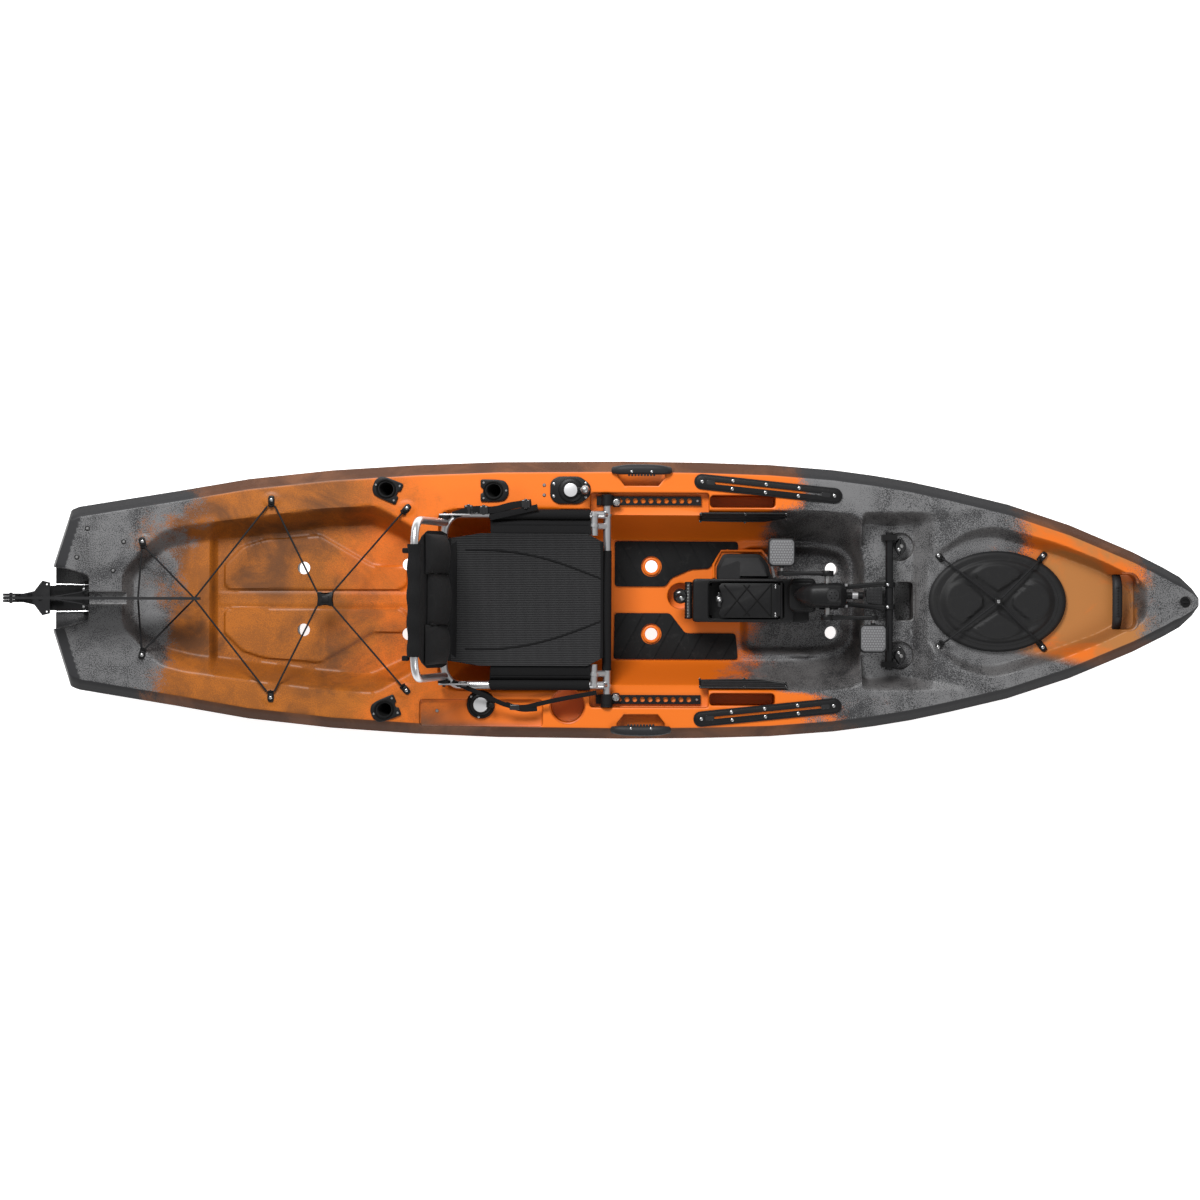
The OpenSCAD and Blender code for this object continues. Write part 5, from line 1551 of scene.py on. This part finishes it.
class KAYAK_OT_console(bpy.types.Operator):
    """Build the drive's console with its handle, hinged lid and latch"""
    bl_idname = "kayak.console"
    bl_label = "Drive console"

    def execute(self, context):
        s = sizes()
        x0, x1, z0, z1, half, dy = 300, 626, s.floor_h + 2, 268, 70, s.drive_y
        sh = Shape()
        # walls round an open box, so that the lid has something to cover
        rows = []
        for z, d in ((z0, -3), (z0 + 3, 0), (z1 - 6, 0), (z1 - 1.6, -1.6), (z1, -6)):
            rows.append([(x, y, z) for x, y in offset(rrect(x0, x1, -half, half, 12), d)])
        def ring28(z, d):
            base = rrect(350, 594, -61, 61, 12)
            return [(x, y, z) for x, y in offset(base, d)]
        rows += [ring28(z1, 3), ring28(z1 - 3, 0), ring28(z1 - 12, 0), ring28(z1 - 13, -2),
                 ring28(z1 - 60, -3), ring28(z1 - 62, -40)]
        sh.rings(rows)
        sh.plate(rrect(x1 - 16, x1 + 50, -half, half, 12), z0, z1 - 34, 4)
        wing = fillet([(378, 66), (560, 66), (545, 120), (520, 152), (400, 152), (378, 110)], 12)
        sh.plate(wing, z0 + 9, z0 + 21, 4)
        sh.plate(fillet([(x0 + 86, 66), (x0 + 86, 104), (452, 128), (452, 90), (452, 66)], 8),
                 z0 + 18, z0 + 22.5, 2, m=1)
        sh.plate(offset(wing, -13), z0 + 20.6, z0 + 22, 0.6, m=1)
        # base of the drive head
        sh.plate(fillet([(612, dy - 55), (694, dy - 55), (694, dy + 55), (612, dy + 55)], 20),
                 z1 - 30, z1 + 40, 8, steps=4)
        sh.plate(fillet([(606, dy - 48), (690, dy - 48), (690, dy + 44), (606, dy + 40)], 18),
                 z1 + 36, z1 + 51, 6, steps=4)
        piece("console_body", sh, [black(), satin()], "drive", ["drive_console"], "panel")
        han = Shape()
        zc, xc = z1 - 30, x0 - 14
        prof = []
        for i in range(61):
            h = -60 + 2 * i
            prof.append((13.0 - (1.4 if i % 5 == 0 else 0) + (-2 if i in (0, 60) else 0), h))
        han.lathe(prof, (xc, 0, zc), "Y", 24)
        han.lathe([(25, -14), (25, 0), (24, 8), (20, 14), (12, 18), (0.5, 19)], (x0 - 40, 14, zc), n=40)
        han.tube([(x0 - 58, 6, zc + 10), (x0 - 44, 20, zc + 23), (x0 - 26, 12, zc + 14)], 4, 10, m=1)
        han.lathe([(5, 17), (5, 21), (3.4, 22), (1.5, 22), (1.2, 20.4)], (x0 - 38, 8, zc), n=20, m=2)
        wall = [(370, 74), (370, 116), (394, 162), (526, 162), (556, 124), (568, 76)]
        ridge = Shape().tube([(x, y, s.floor_h + 2.5) for x, y in wall], 5, 10)
        piece("wing_ridge", ridge, hull_paint(), "hull_body", (), "hull")
        piece("carry_bar", han, [gloss(), gloss(), steel()], "drive", ["console_handle"], "knob")
        lid = Shape()
        lx0, lx1 = 366, 576
        lid.plate(fillet([(lx0 + 26, -56), (lx1, -56), (lx1, 56), (lx0 + 26, 56), (lx0 + 16, 44),
                          (lx0 + 24, 26), (lx0 + 24, -26), (lx0 + 16, -44)], 5), z1 - 11, z1 - 5, 2)
        cx = (lx0 + 26 + lx1 - 22) / 2
        for sx in (-1, 1):
            for a, b in (((lx0 + 34, 50 * sx), (cx + 10, -50 * sx)),
                         ((cx - 10, 50 * sx), (lx1 - 26, -50 * sx))):
                lid.tube([(a[0], a[1], z1 - 5.4), (b[0], b[1], z1 - 5.4)], 2.6, 8, m=1)
        lid.tube([(lx1 - 24, -54, z1 - 5.2), (lx1 - 24, 54, z1 - 5.2)], 2.2, 8, m=1)
        lid.lathe([(4, -59), (5, -58), (5, 58), (4, 59)], (586, 0, z1 - 6), "Y", 18)
        lid.box((574, -50, z1 - 9.5), (586, 50, z1 - 4), 1.5)
        for y in (-50, -42, 42, 50):
            lid.drum((566, y, z1 - 5.4), 3, 2, n=12, m=2)
        piece("box_lid", lid, [black(), plain("Groove black", (0.004, 0.004, 0.004), 0.8), steel()],
              "lid", ["console_lid"], "panel")
        latch = Shape()
        latch.drum((384, 4, z1 - 3.6), 11, 7, n=24, bevel=2)
        latch.lathe([(6, 0), (6, 2), (3, 3.2), (1.4, 2.4)], (384, 4, z1 + 3.2), n=24, m=1)
        latch.plate(fillet([(379, -20), (389, -20), (388, 26), (380, 26)], 3), z1 - 2, z1 + 3.2, 1.5)
        piece("lid_latch", latch, [gloss(), steel()], "latch", ["console_latch"], "knob")
        return {"FINISHED"}


class KAYAK_OT_drive(bpy.types.Operator):
    """Build the pedal drive: head, docking fork, cranks, pedals, leg and propeller"""
    bl_idname = "kayak.drive"
    bl_label = "Pedal drive"

    def head(self, s):
        cx, cy, cz = 724, s.drive_y, s.crank_h
        sh = Shape()
        rows = []
        # teardrop in plan, domed in height
        for i in range(25):
            u = i / 24
            x = 622 + (784 - 622) * u
            w = float(np.interp(x, [622, 632, 650, 680, 724, 760, 776, 784],
                                [7, 18, 30, 38, 41, 41, 36, 26]))
            top = float(np.interp(x, [622, 640, 670, 724, 765, 784], [388, 420, 446, 456, 452, 420]))
            low = float(np.interp(x, [622, 650, 700, 740, 784], [322, 319.6, 319.6, 300, 292]))
            row = []
            for j in range(28):
                t = math.tau * j / 28
                c, q = math.cos(t), math.sin(t)
                e = 0.62
                yy = w * math.copysign(abs(c) ** e, c)
                zz = (top + low) / 2 + (top - low) / 2 * math.copysign(abs(q) ** e, q)
                row.append((x, cy + yy, zz))
            rows.append(row)
        sh.rings(rows)
        sh.tube([(700, cy - 42, 372), (760, cy - 42, 372)], 3, 8)
        piece("head_shell", sh, black(), "drive", ["drive_head"], "panel")
        cap = Shape()
        cap.lathe([(20, 0), (20, 3), (18.6, 4.6), (14, 5)], (cx + 14, cy, cz + 56.2), n=40)
        cap.lathe([(15.6, 4.2), (15.6, 5.0), (15.0, 5.3)], (cx + 14, cy, cz + 56.2), n=40)
        for i in range(6):
            a = math.tau * i / 6
            cap.lathe([(2.1, 0), (2.1, 1)], (cx + 14 + 10.5 * math.cos(a), cy + 10.5 * math.sin(a),
                                              cz + 60.7), n=12, m=1)
        piece("head_badge", cap, [satin(), plain("Bore shadow", (0.002, 0.002, 0.002), 0.9, dust=0)],
              "drive", ["head_cap"], "panel")

    def fork(self, s):
        cy, z = s.drive_y, 290
        sh = Shape()
        for f in (1, -1):
            rows = []
            for u in np.linspace(0, 1, 17):
                x = 764.4 + (930 - 764.4) * u
                y = cy + f * (27 + 11 * float(smooth(u)))
                h = 15 + 3 * math.cos(u * math.pi)
                rows.append([(x, y + a, z + b) for a, b in ((-7, -8), (7, -8), (8, 0), (7, h - 2),
                                                           (4, h), (-4, h), (-7, h - 2), (-8, 0))])
            sh.rings(rows)
            sh.lathe([(18, -8.5), (20, -7), (20, 7), (18, 8.5)], (930, cy + f * 36, z), "Y", 36)
            sh.lathe([(4, 0), (4, 2), (2.4, 3)], (930 - 6, cy + f * 36, z + 19.6), n=14, m=1)
        sh.plate(fillet([(856, cy - 24), (908, cy - 30), (908, cy + 30), (856, cy + 22)], 6),
                 z - 2, z + 10, 2.5, m=2)
        for i in range(4):
            for j in range(5):
                sh.drum((866 + i * 11, cy - 20 + j * 10, z + 9.6), 3.4, 1.6, n=6, m=2)
        sh.box((764.4, cy - 40, z - 12), (784, cy + 40, z + 29), 4)
        sh.lathe([(11, 0), (11, 60), (9, 62)], (784, cy, z + 16), "X", 28)
        sh.lathe([(13, 26), (13, 44)], (784, cy, z + 16), "X", 28, m=1)
        for y in (-34, 34):
            sh.lathe([(6, -4), (6, 4)], (790, cy + y, z + 22), "Y", 18, m=1)
        piece("fork_arms", sh, [black(), alloy(), satin()], "drive", ["docking_fork"], "fitting")

    def cranks(self, s):
        cy, cz = s.drive_y, s.crank_h
        sh = Shape()
        for f in (1, -1):
            y = cy + f * (s.pedal_half - 67)
            rows = []
            for u in np.linspace(0, 1, 21):
                x = 724 - f * s.crank_r * u
                w = 13.5 - 3 * math.sin(math.pi * u)
                t = 6.8 + 0.6 * math.cos(math.tau * u)
                rows.append([(x, y + t * math.copysign(abs(math.cos(a)) ** 0.6, math.cos(a)),
                              cz + w * math.copysign(abs(math.sin(a)) ** 0.6, math.sin(a)))
                             for a in [math.tau * k / 20 for k in range(20)]])
            sh.rings(rows)
            sh.lathe([(19, -9), (20, -7.5), (20, 7.5), (19, 9)], (724, y, cz), "Y", 36)
            sh.lathe([(9, -10), (9, 10)], (724, y, cz), "Y", 24, m=1)
            e = 724 - f * s.crank_r
            ring_ = Shape()
            ring_.lathe([(14, -7.6), (14, 7.6)], (e, y, cz), "Y", 30)
            sh.add(ring_.v, ring_.f, 0)
        piece("crank_levers", sh, [black(), steel()], "crank", ["crank_arms"], "fitting")
        dress("crank_shaft", steel())

    def pedals(self, s):
        for f, side, body in ((1, "port", "port_pedal"), (-1, "starboard", "starboard_pedal")):
            cx, cy, cz = 724 - f * s.crank_r, s.drive_y + f * s.pedal_half, s.crank_h
            sh = Shape()
            shape = fillet([(-43.5, -36), (-34, -45), (34, -45), (43.5, -36), (43.5, 36), (36, 45),
                            (-36, 45), (-43.5, 36)], 12)
            sh.plate([(cx + x, cy + y) for x, y in shape], cz - 10.6, cz + 10.6, 4, m=1)
            inner = [(cx + x * 0.90, cy + y * 0.90) for x, y in shape]
            sh.plate(inner, cz - 11.2, cz + 11.2, 1.5)
            sh.lathe([(5, -30), (5, 30)], (cx, cy - f * 46, cz), "Y", 24, m=2)
            sh.lathe([(8, -3), (8, 3)], (cx, cy - f * 47, cz), "Y", 24, m=1)
            piece("pedal_pad_" + side, sh, [grey_pedal(), black(), steel()], body,
                  ["pedal_" + side], "knob")
            pts = []
            for i in range(-4, 5):
                for j in range(-4, 5):
                    x, y = i * 8.4 + (4.2 if j % 2 else 0), j * 8.2
                    if abs(x) < 35 and abs(y) < 35 and abs(x) + abs(y) < 60:
                        for top in (11.2, -12.4):
                            pts.append((cx + x, cy + y, cz + top))
            ob = studs("pedal_studs_" + side, pts, plain("Stud grey", (0.21, 0.21, 0.215), 0.55),
                       6, 3.7, 3.0, 1.2)
            settle(ob, body, (), "knob")

    def execute(self, context):
        s = sizes()
        self.head(s)
        self.fork(s)
        self.cranks(s)
        self.pedals(s)
        dress("drive_leg", satin(), 3.0)
        prop = Shape()
        px, py, pz = 612, s.drive_y, -220
        prop.lathe([(0.5, -44), (10, -42), (18, -34), (22, -22), (23, -8), (23, 18)],
                   (px, py, pz), "X", 32)
        prop.lathe([(8, 18), (8, 60)], (px, py, pz), "X", 20, m=1)
        for k in (0, 1):
            rows = []
            for i in range(15):
                u = i / 14
                r = 14 + 94 * u
                c = 23 * math.sin(math.pi * min(1, 0.22 + 0.78 * u) ** 0.9) + 4 * (1 - u)
                tw = math.radians(62 - 40 * u)
                row = []
                for q in range(16):
                    a = math.tau * q / 16
                    w, t = c * math.cos(a), (3.2 - 1.8 * u) * math.sin(a)
                    dx, dy = w * math.cos(tw) - t * math.sin(tw), w * math.sin(tw) + t * math.cos(tw)
                    sign = 1 if k else -1
                    row.append((px + dx * 0.8, py + dy * sign, pz + r * sign))
                rows.append(row)
            prop.rings(rows)
        piece("prop_blades", prop, [satin(), steel()], "screw_propeller", ["propeller"], "fitting")
        return {"FINISHED"}


# ---- seat


def bend_path(points, r, n=6):
    """Path in space with its inner corners rounded."""
    out = [Vector(points[0])]
    for a, b, c in zip(points, points[1:], points[2:]):
        a, b, c = Vector(a), Vector(b), Vector(c)
        q = min(r, (a - b).length * 0.48, (c - b).length * 0.48)
        s, e = b + (a - b).normalized() * q, b + (c - b).normalized() * q
        for j in range(n + 1):
            t = j / n
            out.append(s * (1 - t) ** 2 + b * 2 * t * (1 - t) + e * t * t)
    out.append(Vector(points[-1]))
    return out


class KAYAK_OT_seat(bpy.types.Operator):
    """Build the frame seat: tubes, mesh, sleeves, feet, knobs and strap"""
    bl_idname = "kayak.seat"
    bl_label = "Seat"

    def execute(self, context):
        s = sizes()
        r, half, h = s.tube_d / 2, s.seat_half, s.seat_h
        x0 = -19 - s.seat_l
        leg = 300 + 8 + 4 + r
        fr = Shape()
        ends = [(10, half, h - 10), (-40, half, h), (x0 + 30, half, h), (x0, half - 40, h),
                (x0, 40 - half, h), (x0 + 30, -half, h), (-40, -half, h), (10, -half, h - 10)]
        fr.tube(bend_path(ends, 42, 8), r, 20)
        fr.tube([(22, y, leg) for y in np.linspace(-327, 327, 9)], r, 20)
        for f in (1, -1):
            fr.tube([(8, f * half, h - 8), (22, f * half, leg)], r - 1, 16)
            fr.tube([(-19, f * 206, h), (-19, f * half, h)], r - 1, 20)
            fr.tube([(-19, f * 236, h), (20, f * 236, leg + 2)], r - 2, 16)
            for p in ((-19, f * half, h), (22, f * half, leg), (-19, f * 238, h)):
                fr.tube([(p[0] - 1, p[1] - 5, p[2]), (p[0] + 1, p[1] + 5, p[2])], r + 2.4, 16)
            fr.plate([(-514, f * 270 - 3), (-415, f * 270 - 3), (-415, f * 270 + 3),
                      (-514, f * 270 + 3)], h - 4, h + 50, 2)
            fr.plate([(-429, f * 267 - 0), (-409, f * 267), (-409, f * 288), (-429, f * 288)],
                     DECK - 6, h - 4, 2) if f > 0 else fr.plate(
                [(-429, -288), (-409, -288), (-409, -267), (-429, -267)], DECK - 6, h - 4, 2)
        piece("seat_tubes", fr, alloy(), "seat", ["seat_frame"], "tube")
        # hung mesh with two dark seams
        na, nb = 60, 72
        rows = []
        for i in range(na + 1):
            u = i / na
            x = -480 + (13 + 480 - 6) * u
            w = float(np.interp(u, [0, 0.2, 0.9, 1], [196, 212, 212, 186]))
            row = []
            for j in range(nb + 1):
                v = -1 + 2 * j / nb
                d = s.sag * (1 - abs(v) ** 2.4) * (0.35 + 0.65 * math.sin(math.pi * min(1, 0.15 + u * 0.8)))
                up = 6 * max(0, (u - 0.9) * 10) ** 2
                row.append((x, w * v, h + 14 - d * 1.0 + 4 * abs(v) ** 6 - up * 2.2))
            rows.append(row)
        sling = Shape().sheet(rows, -3.0)
        top = rows
        def seam(y0, y1, y2):
            path = []
            for i in range(6, na + 1, 3):
                u = i / na
                y = y0 + (y1 - y0) * u + y2 * math.sin(math.pi * u)
                j = (y / 212 + 1) / 2 * nb
                p = top[i][max(0, min(nb, int(round(j))))]
                path.append((p[0], y, p[2] + 1.5))
            return path
        for f in (1, -1):
            sling.tube(seam(f * 158, f * 66, f * 34), 4.0, 8, m=1)
        sling.tube([(p[0], p[1], p[2] + 1) for p in top[0]][::4], 5, 8, m=1)
        sling.tube([(p[0] - 2, p[1], p[2] + 1) for p in top[-1]][::4], 6, 8, m=1)
        piece("seat_mesh", sling, [mesh_paint(), cloth_paint()], "seat", ["seat_sling"], "mesh")
        sl = Shape()
        for f in (1, -1):
            # side sleeves wrap the tubes and reach in to the mesh
            prof = []
            for a in np.linspace(-60, 200, 14):
                t = math.radians(a)
                prof.append((half + (r + 3.5) * math.cos(t), h + (r + 3.5) * math.sin(t)))
            prof += [(248, h + 8), (226, h + 13), (207, h + 15), (207, h + 11), (228, h + 8),
                     (250, h - 6), (half - 8, h - r - 4)]
            rows = []
            n = 26
            for i in range(n + 1):
                u = i / n
                x = -352 + 320 * u
                e = 1 + 0.012 * math.sin(9 * u + f) + 0.008 * math.sin(23 * u)
                rows.append([(x + (3 * math.sin(k * 0.5) if i in (0, n) else 0),
                              f * (half + (y - half) * e), h + (z - h) * e)
                             for k, (y, z) in enumerate(prof)])
            sl.rings(rows)
            for y in (214, 240):
                z = h + (14.4 if y < 230 else 10.6)
                sl.tube([(-348, f * y, z), (-36, f * y, z)], 1.4, 6)
        # sleeve on the front tube
        sl.tube([(22, y, leg) for y in np.linspace(-226, 158, 17)], r + 2.2, 20)
        # rear apron between the mesh and the backrest
        rows = []
        for i in range(9):
            u = i / 8
            rows.append([(-508 + 50 * u, y, h + 15 - 10 * u * (1 - u) - 6 * (1 - abs(y) / 200)) for y in
                         np.linspace(-192, 192, 17)])
        sl.sheet(rows, -3)
        piece("seat_sleeves", sl, cloth_paint(), "seat", (), "webbing")
        feet = Shape()
        for f in (1, -1):
            y = f * 320
            feet.plate(rrect(4, 40, y - 19, y + 19, 6), 308.3, 330, 3)
            feet.lathe([(17, -18), (19, -16), (19, 16), (17, 18)], (22, y, leg), "Y", 28)
            feet.lathe([(19, -20), (20, -19), (20, -14), (19, -13)], (22, y + f * 4, leg), "Y", 28)
        piece("seat_shoes", feet, black(), "seat", ["seat_feet"], "fitting")
        kn = Shape()
        for f in (1, -1):
            y = f * 313
            kn.plate(rrect(40, 64, y - 15, y + 15, 5), 308.4, 315, 2, m=1)
            kn.lathe([(9, 0), (10, 4), (12, 9), (12, 16), (10.5, 18.6), (8, 19.2), (7.4, 18.2),
                      (0.4, 18.4)], (52, y, 309.4), n=32)
            for t in range(4):
                a = math.tau * t / 4 + 0.4
                kn.drum((52 + 8 * math.cos(a), y + 8 * math.sin(a), 327), 2, 2, n=10, m=1)
        piece("seat_pins", kn, [steel(), black()], "seat", ["seat_knobs"], "steel")
        # slack adjusting strap to starboard and the buckled one to port
        st = Shape()
        def strap(path, wide, m=0):
            pts = bend_path(path, 40, 5)
            rows = []
            for i, p in enumerate(pts):
                a, b = pts[max(0, i - 1)], pts[min(len(pts) - 1, i + 1)]
                t = (b - a).normalized()
                side = t.cross(Vector((0, 0, 1))).normalized() * wide
                rows.append([tuple(p - side), tuple(p + side)])
            crown = Vector((0, 0, 1.5))
            st.sheet([[a, tuple((Vector(a) + Vector(b)) / 2 + crown), b] for a, b in rows], 1.6, m)
        strap([(-470, -262, 396), (-380, -300, 372), (-300, -338, 356), (-247, -346, 350),
               (-150, -322, 356), (-10, -296, 352)], 7)
        strap([(-300, -334, 358), (-250, -352, 352), (-200, -348, 350)], 8)
        strap([(-470, 268, 396), (-400, 290, 386), (-340, 284, 372), (-290, 300, 374),
               (-220, 310, 372)], 11)
        strap([(-352, 262, 372), (-290, 276, 376), (-200, 296, 374)], 9)
        for x, y, z in ((-420, 288, 384), (-372, 286, 380), (-238, 306, 376)):
            st.box((x - 14, y - 13, z - 5), (x + 14, y + 13, z + 6), 4, m=1)
            st.box((x - 5, y - 16, z + 2), (x + 5, y + 16, z + 8), 2, m=1)
        for x, y, z in ((-440, -270, 386), (-272, -344, 355)):
            st.box((x - 16, y - 9, z - 4), (x + 16, y + 9, z + 5), 3, m=1)
        piece("seat_straps", st, [cloth_paint(), gloss()], "seat", (), "webbing", crease=50)
        return {"FINISHED"}


class KAYAK_OT_backrest(bpy.types.Operator):
    """Build the backrest: tube, sleeve, panel, lumbar pads and hubs"""
    bl_idname = "kayak.backrest"
    bl_label = "Backrest"

    def execute(self, context):
        s = sizes()
        lean = math.radians(11)
        px, h, arm = -490, s.seat_h, s.seat_half - 20
        def at(u, y, out=0.0):
            """Point up the backrest by u, across by y and forward of its plane by out."""
            return (px - u * math.sin(lean) + out * math.cos(lean), y,
                    h + u * math.cos(lean) + out * math.sin(lean))
        L = s.back_l
        fr = Shape()
        fr.tube(bend_path([at(30, arm - 8), at(L - 4, arm - 8), at(L - 4, 8 - arm), at(30, 8 - arm)],
                          84, 14), s.tube_d / 2, 22, up=(math.cos(lean), 0, math.sin(lean)))
        piece("back_tube", fr, alloy(), "backrest", ["back_frame"], "tube")
        sl = Shape()
        # panel of cloth: front face, wrapped over the top tube
        rows = []
        nu, nv = 34, 40
        for i in range(nu + 1):
            u = 52 + (L - 52) * i / nu
            w = float(np.interp(u, [52, 120, 300, 370, 405, L], [208, 216, 214, 196, 178, 172]))
            row = []
            for j in range(nv + 1):
                v = -1 + 2 * j / nv
                out = 13 + 4 * (1 - v * v) + 2.0 * math.sin(u * 0.05) * (1 - abs(v))
                row.append(at(u, w * v, out))
            rows.append(row)
        sl.sheet(rows, -4)
        path = [at(L - 6 + 3 * math.cos(y * 0.02), y, -1) for y in np.linspace(-178, 170, 30)]
        sl.tube(path, [21 + 2.0 * math.sin(k * 0.9) for k in range(30)], 20,
                up=(math.cos(lean), 0, math.sin(lean)))
        # rear flap and its small tabs
        rows = [[at(u, y, -16 - 3 * math.sin(u * 0.03)) for y in np.linspace(-176, 168, 22)]
                for u in np.linspace(L - 90, L, 10)]
        sl.sheet(rows, 3)
        for y in (150, -182):
            sl.box(tuple(np.add(at(L - 20, y - 8, -42), (0, 0, -30))),
                   tuple(np.add(at(L - 20, y + 8, -42), (22, 0, 14))), 4)
        piece("back_cloth", sl, cloth_paint(), "backrest", ["back_sling"], "webbing")
        pad = Shape()
        # lumbar pad in three lobes
        def lobe(y0, y1, u0, u1, fat):
            rows = []
            n, k = 26, 30
            for i in range(n + 1):
                a = i / n
                row = []
                for j in range(k + 1):
                    b = j / k
                    bulge = (max(0.0, math.sin(math.pi * a)) ** 0.45
                             * max(0.0, math.sin(math.pi * b)) ** 0.4)
                    row.append(at(u0 + (u1 - u0) * a, y0 + (y1 - y0) * b, 18.6 + fat * bulge))
                rows.append(row)
            pad.sheet(rows, -2.5)
        lobe(-84, 84, 80, 330, 38)
        lobe(78, 204, 88, 356, 36)
        lobe(-204, -78, 88, 356, 36)
        for y in (81, -81):
            pad.tube([at(90 + 24 * k, y + 5 * math.sin(k * 0.8), 30) for k in range(11)], 3.4, 8)
        ob = piece("lumbar_cushion", pad, plain("Cushion cloth", (0.010, 0.010, 0.0105), 0.9, grain=0.8),
                   "backrest", ["lumbar_pad"], "webbing")
        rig.padded(ob, 0.7)
        hubs = Shape()
        for f in (1, -1):
            hubs.lathe([(17, -5.5), (20, -3.5), (20, 3.5), (17, 5.5)],
                       (px - 6.5, f * (arm + 10), h + 33.5), "Y", 36)
            hubs.lathe([(5, -8), (5, 16)], (px - 6.5, f * (arm + 10), h + 33.5), "Y", 20) if f > 0 \
                else hubs.lathe([(5, -16), (5, 8)], (px - 6.5, f * (arm + 10), h + 33.5), "Y", 20)
        piece("hinge_hubs", hubs, black(), "backrest", ["back_hubs"], "fitting")
        return {"FINISHED"}


# ---- stage


class KAYAK_OT_stage(bpy.types.Operator):
    """Set the pale floor, the soft lights and the camera overhead"""
    bl_idname = "kayak.stage"
    bl_label = "Stage"

    def light(self, name, where, target, wide, long, watts):
        data = bpy.data.lights.new(name, "AREA")
        data.shape, data.size, data.size_y, data.energy = "RECTANGLE", wide, long, watts
        ob = bpy.data.objects.new(name, data)
        ob.location = where
        ob.rotation_mode = "QUATERNION"
        ob.rotation_quaternion = (Vector(target) - Vector(where)).to_track_quat("-Z", "Y")
        bpy.context.scene.collection.objects.link(ob)
        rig.stage(ob)

    def execute(self, context):
        sc = context.scene
        sh = Shape().plate(rrect(-40000, 40000, -40000, 40000, 10, 1), -352, -342, 1)
        m, n, b = new_material("Pale floor")
        b.inputs["Base Color"].default_value = (0.95, 0.95, 0.95, 1)
        b.inputs["Roughness"].default_value = 0.9
        b.inputs["Emission Color"].default_value = (1, 1, 1, 1)
        b.inputs["Emission Strength"].default_value = 0.62
        floor = as_object("studio_floor", sh, m)
        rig.stage(floor)
        world = bpy.data.worlds.new("Soft studio")
        sc.world = world
        world.use_nodes = True
        bg = world.node_tree.nodes["Background"]
        bg.inputs["Color"].default_value = (1.0, 1.0, 1.0, 1)
        bg.inputs["Strength"].default_value = 0.42
        self.light("key", (-1.2, 3.4, 4.2), (0, 0, 0.2), 2.6, 1.6, 330)
        self.light("fill", (2.2, -3.2, 4.0), (0.3, 0, 0.2), 3.0, 1.6, 60)
        cam = bpy.data.cameras.new("camera")
        cam.lens, cam.sensor_width = 100, 36
        ob = bpy.data.objects.new("camera", cam)
        ob.location = (0, 0, DECK / 1000 + 3.846 * 100 / 36)
        ob.rotation_euler = (0, 0, 0.0037)
        cam.clip_end = 200
        sc.collection.objects.link(ob)
        sc.camera = ob
        sc.view_settings.view_transform = "Standard"
        return {"FINISHED"}


class KAYAK_PT_panel(bpy.types.Panel):
    """Sizes, colours and buttons"""
    bl_label = "Kayak"
    bl_idname = "KAYAK_PT_panel"
    bl_space_type = "VIEW_3D"
    bl_region_type = "UI"
    bl_category = "Kayak"

    def draw(self, context):
        col = self.layout.column()
        for group in (context.scene.kayak_sizes, context.scene.kayak_colours):
            for key in group.__annotations__:
                col.prop(group, key)
        for op in OPERATORS:
            col.operator(op.bl_idname)


OPERATORS = [KAYAK_OT_hull, KAYAK_OT_floor, KAYAK_OT_deck, KAYAK_OT_cords, KAYAK_OT_hatch,
             KAYAK_OT_controls, KAYAK_OT_rudder, KAYAK_OT_console, KAYAK_OT_drive, KAYAK_OT_seat,
             KAYAK_OT_backrest, KAYAK_OT_stage]
CLASSES = [KayakSizes, KayakColours, *OPERATORS, KAYAK_PT_panel]


def register():
    for c in CLASSES:
        bpy.utils.register_class(c)
    bpy.types.Scene.kayak_sizes = bpy.props.PointerProperty(type=KayakSizes)
    bpy.types.Scene.kayak_colours = bpy.props.PointerProperty(type=KayakColours)


def unregister():
    del bpy.types.Scene.kayak_colours, bpy.types.Scene.kayak_sizes
    for c in reversed(CLASSES):
        bpy.utils.unregister_class(c)


def main():
    register()
    lo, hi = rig.bounds()
    cad = [list(lo), list(hi)]
    for op in OPERATORS:
        group, name = op.bl_idname.split(".")
        getattr(getattr(bpy.ops, group), name)()
    lo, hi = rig.bounds()
    with open("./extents.json", "w") as f:
        json.dump({"cad_box": cad, "visual_box": [list(lo), list(hi)]}, f)


if __name__ in ("__main__", "<run_path>"):
    main()
